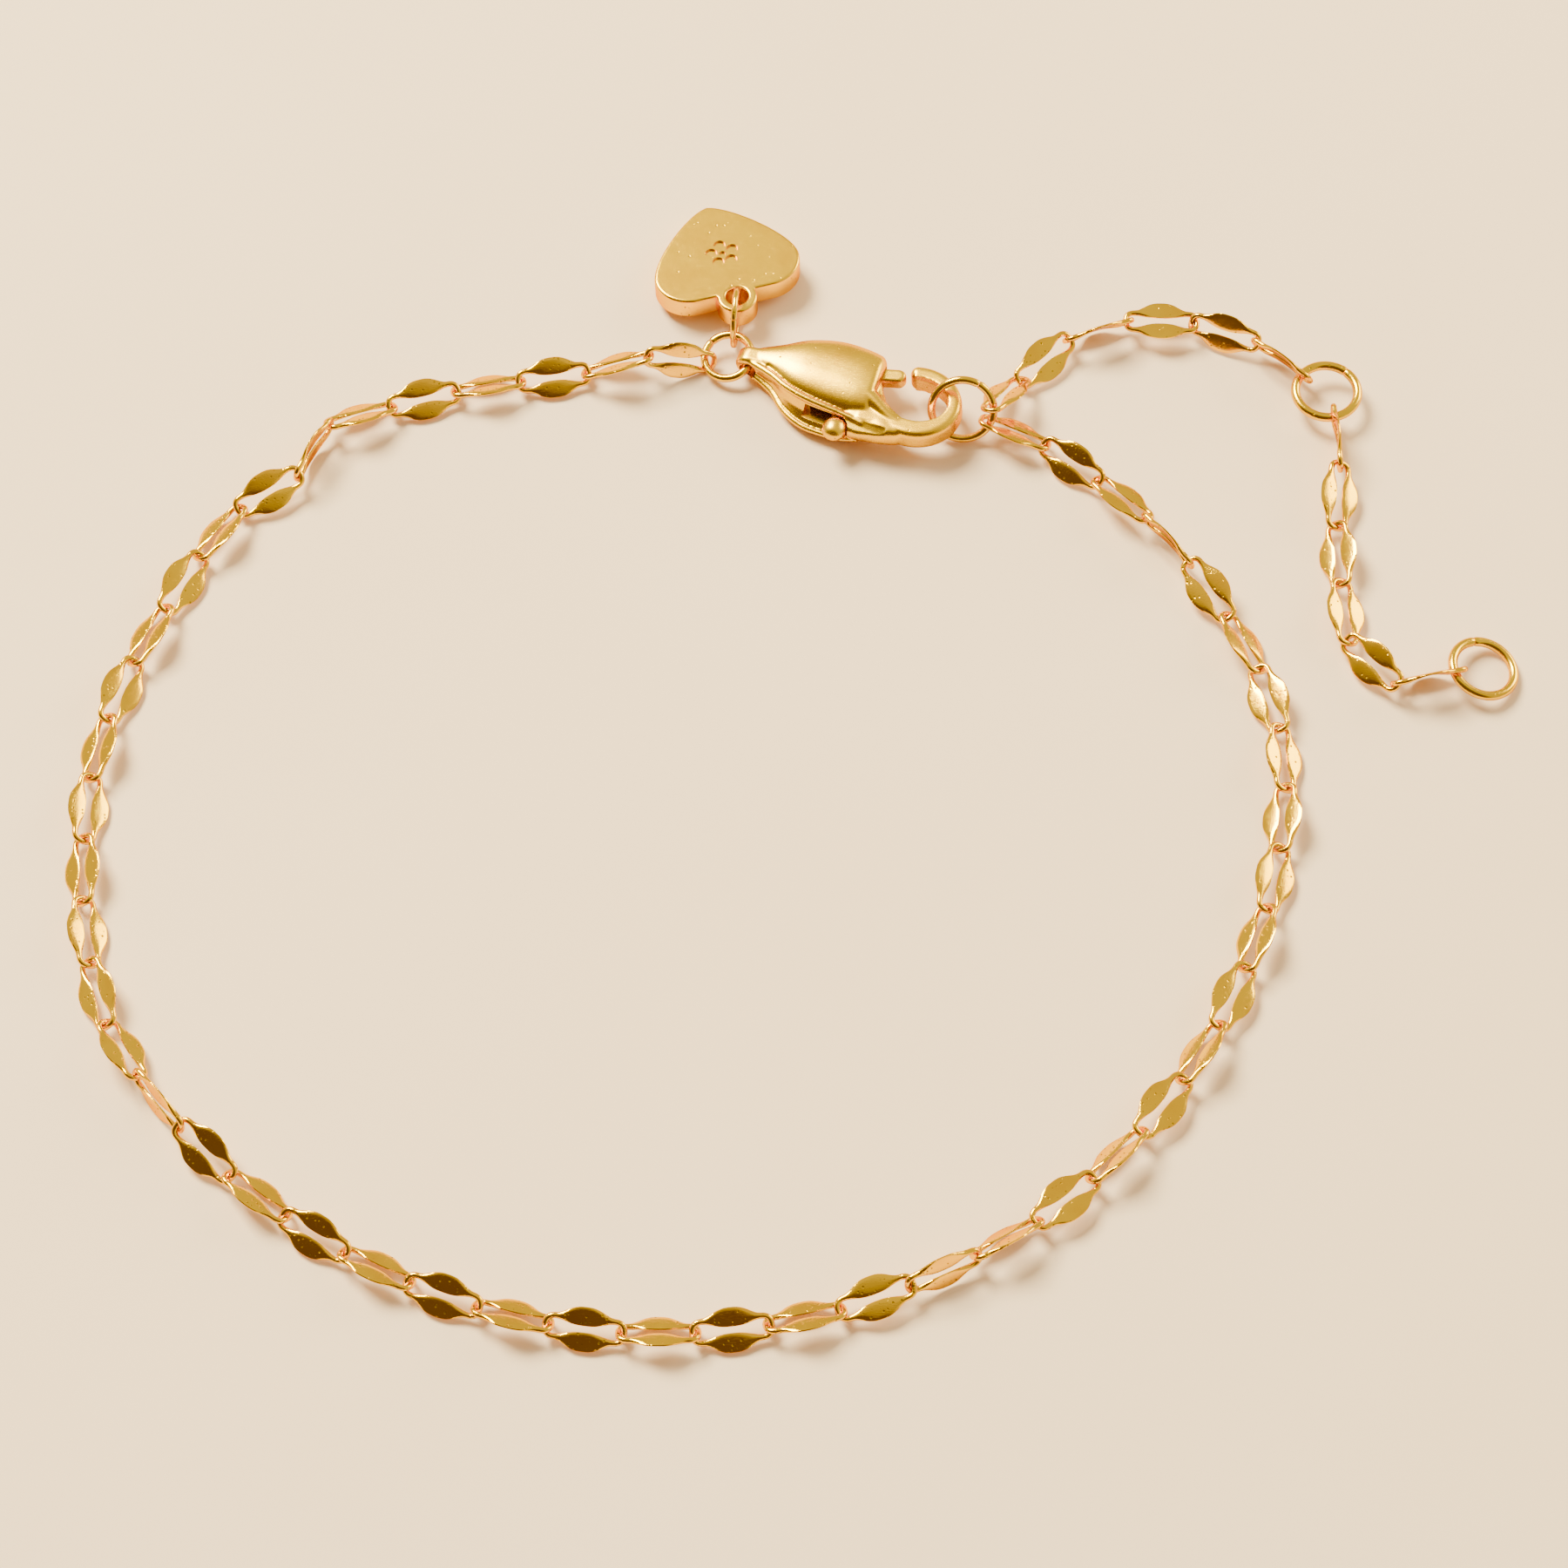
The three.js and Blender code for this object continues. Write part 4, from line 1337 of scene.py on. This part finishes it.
@dataclass
class HeartCharm:
    """A flat heart with an eyelet between its lobes, drawn from the eyelet, tip along +y.

    The pulls are the reaches of the side curve's handles, as shares of its height and its width.
    """

    half_width: float = 3.76
    tip: float = 6.07
    waist: float = 1.95
    waist_pull: float = 0.32
    tip_pull: float = 0.29
    lobe_x: float = 2.0
    lobe_end: float = 0.24
    thickness: float = 1.25
    edge: float = 0.14
    edge_rim: float = 0.03
    eyelet_radius: float = 1.02
    eyelet_hole: float = 0.55
    tilt: float = 4.4
    heading: float = 105.5
    petals: int = 5
    petal_radius: float = 0.3
    petal_reach: float = 0.575
    petal_depth: float = 0.12
    flower_y: float = 2.85
    flower_middle: float = 0.165
    side_steps: int = 40
    lobe_steps: int = 24
    eyelet_steps: int = 48
    petal_sides: int = 40
    edge_steps: int = 6

    def _bezier(self, points: list[Pair], count: int) -> Row:
        """Draws a cubic curve.

        Args:
            points: Its two ends and two handles, in order.
            count: Number of pieces.

        Returns:
            The points of the curve, without the last one.
        """
        a, b, c, d = (Vector((x, y, 0.0)) for x, y in points)
        shares = [step / count for step in range(count)]
        return [
            a * (1 - t) ** 3 + 3 * b * t * (1 - t) ** 2 + 3 * c * t * t * (1 - t) + d * t**3
            for t in shares
        ]

    def _outline(self) -> Row:
        """Draws the heart's outline anticlockwise from its tip."""
        height = self.waist - self.lobe_end
        width = self.half_width - self.lobe_x
        waist_pull = (self.tip - self.waist) * self.waist_pull
        tip_pull = self.half_width * self.tip_pull
        neck = math.degrees(math.acos(self.lobe_end / self.eyelet_radius))
        handles = [
            (0, self.tip),
            (-tip_pull, self.tip - self.edge),
            (-self.half_width, self.waist + waist_pull),
            (-self.half_width, self.waist),
        ]
        left = self._bezier(handles, self.side_steps)
        lobe = ellipse_arc((-self.lobe_x, self.waist), (width, height), 180, 270, self.lobe_steps)
        rim = (self.eyelet_radius, self.eyelet_radius)
        eyelet = ellipse_arc((0, 0), rim, 90 + neck, 450 - neck, self.eyelet_steps)
        half = [*left, *lobe]
        mirrored = [Vector((-point.x, point.y, 0)) for point in reversed(half[1:])]
        return [*half, *eyelet, *mirrored]

    def _plate(self) -> bpy.types.Mesh:
        """Builds the heart with rounded edges and the eyelet's hole."""
        hole = circle((0, 0), self.eyelet_hole, self.eyelet_steps)
        shape = bmesh.new()
        faces = {}
        for loop, inwards in ((self._outline(), 1), (hole, -1)):
            rows = []
            for side in (-1, 1):
                for step in range(self.edge_steps + 2):
                    share = min(step, self.edge_steps) / self.edge_steps
                    flat = self.edge_rim if step > self.edge_steps else 0.0
                    angle = share * math.pi / 2
                    height = side * (self.thickness / 2 - self.edge + self.edge * math.sin(angle))
                    ring = inset(loop, inwards * (self.edge * (1 - math.cos(angle)) + flat))
                    lift = (height + self.thickness / 2) * UP
                    rows.append([shape.verts.new(point + lift) for point in ring])
                if side < 0:
                    rows.reverse()
            for low, high in zip(rows, rows[1:]):
                for index in range(len(loop)):
                    after = (index + 1) % len(loop)
                    shape.faces.new([low[index], low[after], high[after], high[index]])
            faces[inwards] = (rows[0], rows[-1])
        for end in (0, 1):
            edges = []
            for inwards in (1, -1):
                ring = faces[inwards][end]
                for index, vert in enumerate(ring):
                    edges.append(shape.edges.get([vert, ring[(index + 1) % len(ring)]]))
            bmesh.ops.triangle_fill(shape, use_beauty=True, edges=edges)
        bmesh.ops.recalc_face_normals(shape, faces=shape.faces)
        mesh = bpy.data.meshes.new("heart")
        shape.to_mesh(mesh)
        shape.free()
        return mesh

    def _flower(self) -> list[bpy.types.Mesh]:
        """Makes the cutters for the small flower that is sunk into the middle of the heart."""
        spots = [(0.0, self.flower_y, self.flower_middle)]
        for petal in range(self.petals):
            angle = math.pi / 2 + 2 * math.pi * petal / self.petals
            x, y = self.petal_reach * math.cos(angle), self.petal_reach * math.sin(angle)
            spots.append((x, self.flower_y + y, self.petal_radius))
        cutters = []
        for x, y, radius in spots:
            cutter = disc((x, y), radius, 2 * self.petal_depth, self.petal_sides)
            cutter.transform(Matrix.Translation((0, 0, self.thickness)))
            cutters.append(cutter)
        return cutters

    def build(
        self, shop: Workshop, ring_centre: Vector, heading: Vector, to_hole: float
    ) -> bpy.types.Object:
        """Builds the charm as a finished piece.

        Args:
            shop: Workshop that finishes the piece.
            ring_centre: Centre of the ring that holds it.
            heading: Direction from that ring to the charm's hole, on the table.
            to_hole: Distance from the ring's centre to the hole.

        Returns:
            The piece.
        """
        centre = ring_centre + to_hole * heading
        centre.z = self.tip * math.sin(math.radians(self.tilt)) + FLOOR_GAP
        place = Matrix.Translation(centre) @ turn("Z", self.heading - 90) @ turn("X", -self.tilt)
        heart = carved(self._plate(), self._flower())
        return shop.dress(heart, "heart_charm", place, CHARM_FINISH, Body.BRACELET)


# Bracelet


@dataclass
class Bracelet:
    """The whole bracelet: chains, rings, clasp and charm in their places.

    A seat is where a chain's end link sits on its ring, and how steeply it leaves it, in degrees.
    """

    clasp: LobsterClasp = field(default_factory=LobsterClasp)
    charm: HeartCharm = field(default_factory=HeartCharm)
    ring_wire: float = 0.4
    clasp_ring_radius: float = 1.2
    clasp_ring_droop: float = 4.0
    clasp_ring_cut: float = 150.0
    hook_ring_radius: float = 1.55
    hook_ring_x: float = 11.25
    hook_ring_lean: float = 55.0
    hook_ring_turn: float = 14.0
    hook_ring_cut: float = 60.0
    charm_ring_radius: float = 1.4
    charm_ring_wire: float = 0.3
    charm_ring_at: float = 90.0
    charm_ring_heading: float = 85.0
    charm_ring_to_hole: float = 1.13
    charm_ring_to_wire: float = 0.7
    charm_ring_cut: float = 130.0
    main_seats: tuple[Pair, Pair] = ((205.0, 14.0), (-26.0, -7.0))
    inner_seat: Pair = (8.0, -21.0)
    outer_seat: Pair = (-38.0, 0.0)
    main: ChainRun = field(
        default_factory=lambda: ChainRun(
            "main_chain",
            [
                (-11.3, 21.0), (-18.2, 19.7), (-23.6, 17.5), (-24.8, 14.7), (-27.5, 13.1),
                (-29.2, 10.4), (-33.0, 1.4), (-33.6, -6.2), (-31.9, -14.6), (-26.9, -21.2),
                (-18.9, -26.8), (-9.3, -29.7), (0.6, -29.0), (9.7, -25.1), (16.8, -18.3),
                (21.4, -9.4), (22.8, 0.0), (20.7, 6.6), (16.8, 12.3), (12.3, 16.6),
            ],
            [
                Roll(1, -64), Roll(5, 0, 0, 30), Roll(1, 85), Roll(11, 0, 0, -30), Roll(1, 77),
                Roll(10, 0, 0, 30), Roll(1, 18), Roll(1, 70), Roll(13, -22, 2.4, -28), Roll(1, 75),
                Roll(3, -8, 3, 30),
            ],
        )
    )
    inner: ChainRun = field(
        default_factory=lambda: ChainRun(
            "extension_chain_inner",
            [
                (11.3, 21.0), (14.3, 23.4), (17.6, 24.1), (21.0, 23.6), (23.9, 21.9), (27.0, 18.6),
            ],
            [Roll(1, -23), Roll(2, -13, 0, 48), Roll(1, 5), Roll(1, 58), Roll(1, -68)],
        )
    )
    outer: ChainRun = field(
        default_factory=lambda: ChainRun(
            "extension_chain_outer",
            [
                (26.6, 14.6), (26.2, 11.1), (26.4, 7.6), (26.7, 4.4), (28.6, 2.9), (32.2, 3.8),
                (36.0, 5.0),
            ],
            [Roll(1, -85), Roll(4, 4, 1, -29), Roll(1, -62)],
        )
    )

    def build(self) -> list[bpy.types.Object]:
        """Builds every piece of the bracelet.

        Returns:
            The finished pieces.
        """
        at_clasp = self.clasp.place
        leaned = turn("Y", -self.clasp_ring_droop) @ turn("X", self.clasp.ring_lean)
        offset = leaned @ Vector((-self.clasp_ring_radius, 0, 0)) + Vector((self.clasp.eye_x, 0, 0))
        place = at_clasp @ Matrix.Translation(offset) @ leaned
        clasp_ring = JumpRing(
            "clasp_ring", self.clasp_ring_radius, self.ring_wire, place, self.clasp_ring_cut
        )
        hooked = turn("Z", self.hook_ring_turn) @ turn("X", self.hook_ring_lean)
        place = at_clasp @ Matrix.Translation((self.hook_ring_x, 0, 0)) @ hooked
        hook_ring = JumpRing(
            "hook_ring", self.hook_ring_radius, self.ring_wire, place, self.hook_ring_cut
        )
        start, end = self.main_seats
        self.main.lay(
            clasp_ring.seat(*start, self.main.route[0]), hook_ring.seat(*end, self.main.route[-1])
        )
        self.inner.lay(hook_ring.seat(*self.inner_seat, self.inner.route[0]))
        mid_ring = ring_after("mid_ring", self.inner, self.inner.joints[-1].z)
        self.outer.lay(mid_ring.seat(*self.outer_seat, self.outer.route[0]))
        end_ring = ring_after("end_ring", self.outer, PLAIN_RING_WIRE / 2 + FLOOR_GAP)
        heading = turn("Z", self.charm_ring_heading) @ Vector((1, 0, 0))
        centre = clasp_ring.point(self.charm_ring_at) + self.charm_ring_to_wire * heading
        centre.z = self.charm_ring_radius + self.charm_ring_wire / 2 + FLOOR_GAP
        place = Matrix.Translation(centre) @ turn("Z", self.charm_ring_heading) @ turn("X", 90)
        charm_ring = JumpRing(
            "charm_ring", self.charm_ring_radius, self.charm_ring_wire, place, self.charm_ring_cut
        )

        low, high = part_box("mid_ring")
        shop = Workshop((low + high) / 2 / MILLIMETRE - mid_ring.place.translation)
        pieces = [run.build(shop) for run in (self.main, self.inner, self.outer)]
        rings = (clasp_ring, hook_ring, mid_ring, end_ring, charm_ring)
        pieces += [ring.build(shop) for ring in rings]
        pieces += self.clasp.build(shop)
        pieces.append(self.charm.build(shop, centre, heading, self.charm_ring_to_hole))
        return pieces


# Studio


@dataclass
class SoftLight:
    """A square soft box that looks at the bracelet. Places and sizes are metres."""

    name: str
    place: Point
    width: float
    power: float
    colour: Colour

    def build(self) -> bpy.types.Object:
        """Hangs the light and turns it to the bracelet."""
        lamp = bpy.data.lights.new(self.name, "AREA")
        lamp.shape = "SQUARE"
        lamp.size = self.width
        lamp.energy = self.power
        lamp.color = self.colour
        box = bpy.data.objects.new(self.name, lamp)
        box.location = self.place
        box.rotation_euler = (-Vector(self.place)).to_track_quat("-Z", "Y").to_euler()
        bpy.context.scene.collection.objects.link(box)
        return box


@dataclass
class Studio:
    """A plain pale floor, a soft room that is darker on the camera's side, and the camera.

    Lengths are metres, apart from the lens and its sensor. The dark band is how far round towards
    the dark side the room's light starts to fall off, and where it ends.
    """

    floor_half: float = 0.7
    floor_colour: Colour = (0.96, 0.74, 0.43)
    floor_shade: Colour = (0.91, 0.68, 0.38)
    floor_roughness: float = 0.75
    floor_cloud_scale: float = 38.0
    floor_cloud_detail: float = 8.0
    camera_place: Point = (-0.0007791, -0.1018351, 0.1825202)
    camera_elevation: float = 61.3
    camera_near: float = 0.01
    lens: float = 100.0
    sensor: float = 36.0
    room_light: Colour = (1.0, 0.9, 0.76)
    room_dark: Colour = (0.17, 0.1, 0.05)
    room_strength: float = 0.95
    dark_way: Point = (-0.4, -0.85, 0.34)
    dark_band: Pair = (0.46, 0.7)
    lights: list[SoftLight] = field(
        default_factory=lambda: [
            SoftLight("window", (-0.3, 0.34, 0.5), 0.28, 15.5, (1.0, 0.92, 0.8)),
            SoftLight("bounce", (0.5, 0.3, 0.25), 0.3, 3.0, (1.0, 0.9, 0.74)),
        ]
    )

    def build(self) -> None:
        """Builds the whole studio."""
        self._floor()
        self._room()
        self._camera()
        for light in self.lights:
            light.build()

    def _floor(self) -> None:
        """Lays the floor at height 0."""
        half = self.floor_half
        corners = [(-half, -half, 0), (half, -half, 0), (half, half, 0), (-half, half, 0)]
        mesh = bpy.data.meshes.new("floor")
        mesh.from_pydata(corners, [], [(0, 1, 2, 3)])
        material, board, shader = new_material("pale_floor")
        cloud = board.noise(board.place(), self.floor_cloud_scale, self.floor_cloud_detail)
        colour = board.mix(cloud, self.floor_colour, self.floor_shade)
        board.feed(shader, {"Roughness": self.floor_roughness, "Base Color": colour})
        mesh.materials.append(material)
        object_of("floor", mesh)

    def _room(self) -> None:
        """Fills the room with soft light that falls off towards the camera's side."""
        world = bpy.data.worlds.new("soft_room")
        bpy.context.scene.world = world
        world.use_nodes = True
        board = NodeBoard(world.node_tree)
        way = board.add("ShaderNodeTexCoord", {}).outputs["Generated"]
        inputs = {0: way, 1: self.dark_way}
        dot = board.add("ShaderNodeVectorMath", inputs, operation="DOT_PRODUCT")
        ramp = board.add("ShaderNodeValToRGB", {"Fac": dot.outputs["Value"]})
        for index, colour in enumerate((self.room_light, self.room_dark)):
            ramp.color_ramp.elements[index].position = self.dark_band[index]
            ramp.color_ramp.elements[index].color = (*colour, 1.0)
        inputs = {"Strength": self.room_strength, "Color": ramp.outputs["Color"]}
        board.feed(world.node_tree.nodes["Background"], inputs)

    def _camera(self) -> None:
        """Sets the camera where the photograph was taken from."""
        camera = bpy.data.cameras.new("camera")
        camera.lens = self.lens
        camera.sensor_width = self.sensor
        camera.clip_start = self.camera_near
        holder = bpy.data.objects.new("camera", camera)
        holder.location = self.camera_place
        holder.rotation_euler = (math.radians(90 - self.camera_elevation), 0.0, 0.0)
        bpy.context.scene.collection.objects.link(holder)
        bpy.context.scene.camera = holder


def main() -> None:
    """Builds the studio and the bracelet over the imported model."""
    logging.basicConfig(level=logging.INFO, format="%(name)s: %(message)s")
    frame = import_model()
    log.info("%d packed nodes", len(frame["nodes"]))
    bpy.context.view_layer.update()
    Studio().build()
    pieces = Bracelet().build()
    log.info("%d pieces built", len(pieces))
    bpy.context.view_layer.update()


if __name__ == "__main__":
    main()
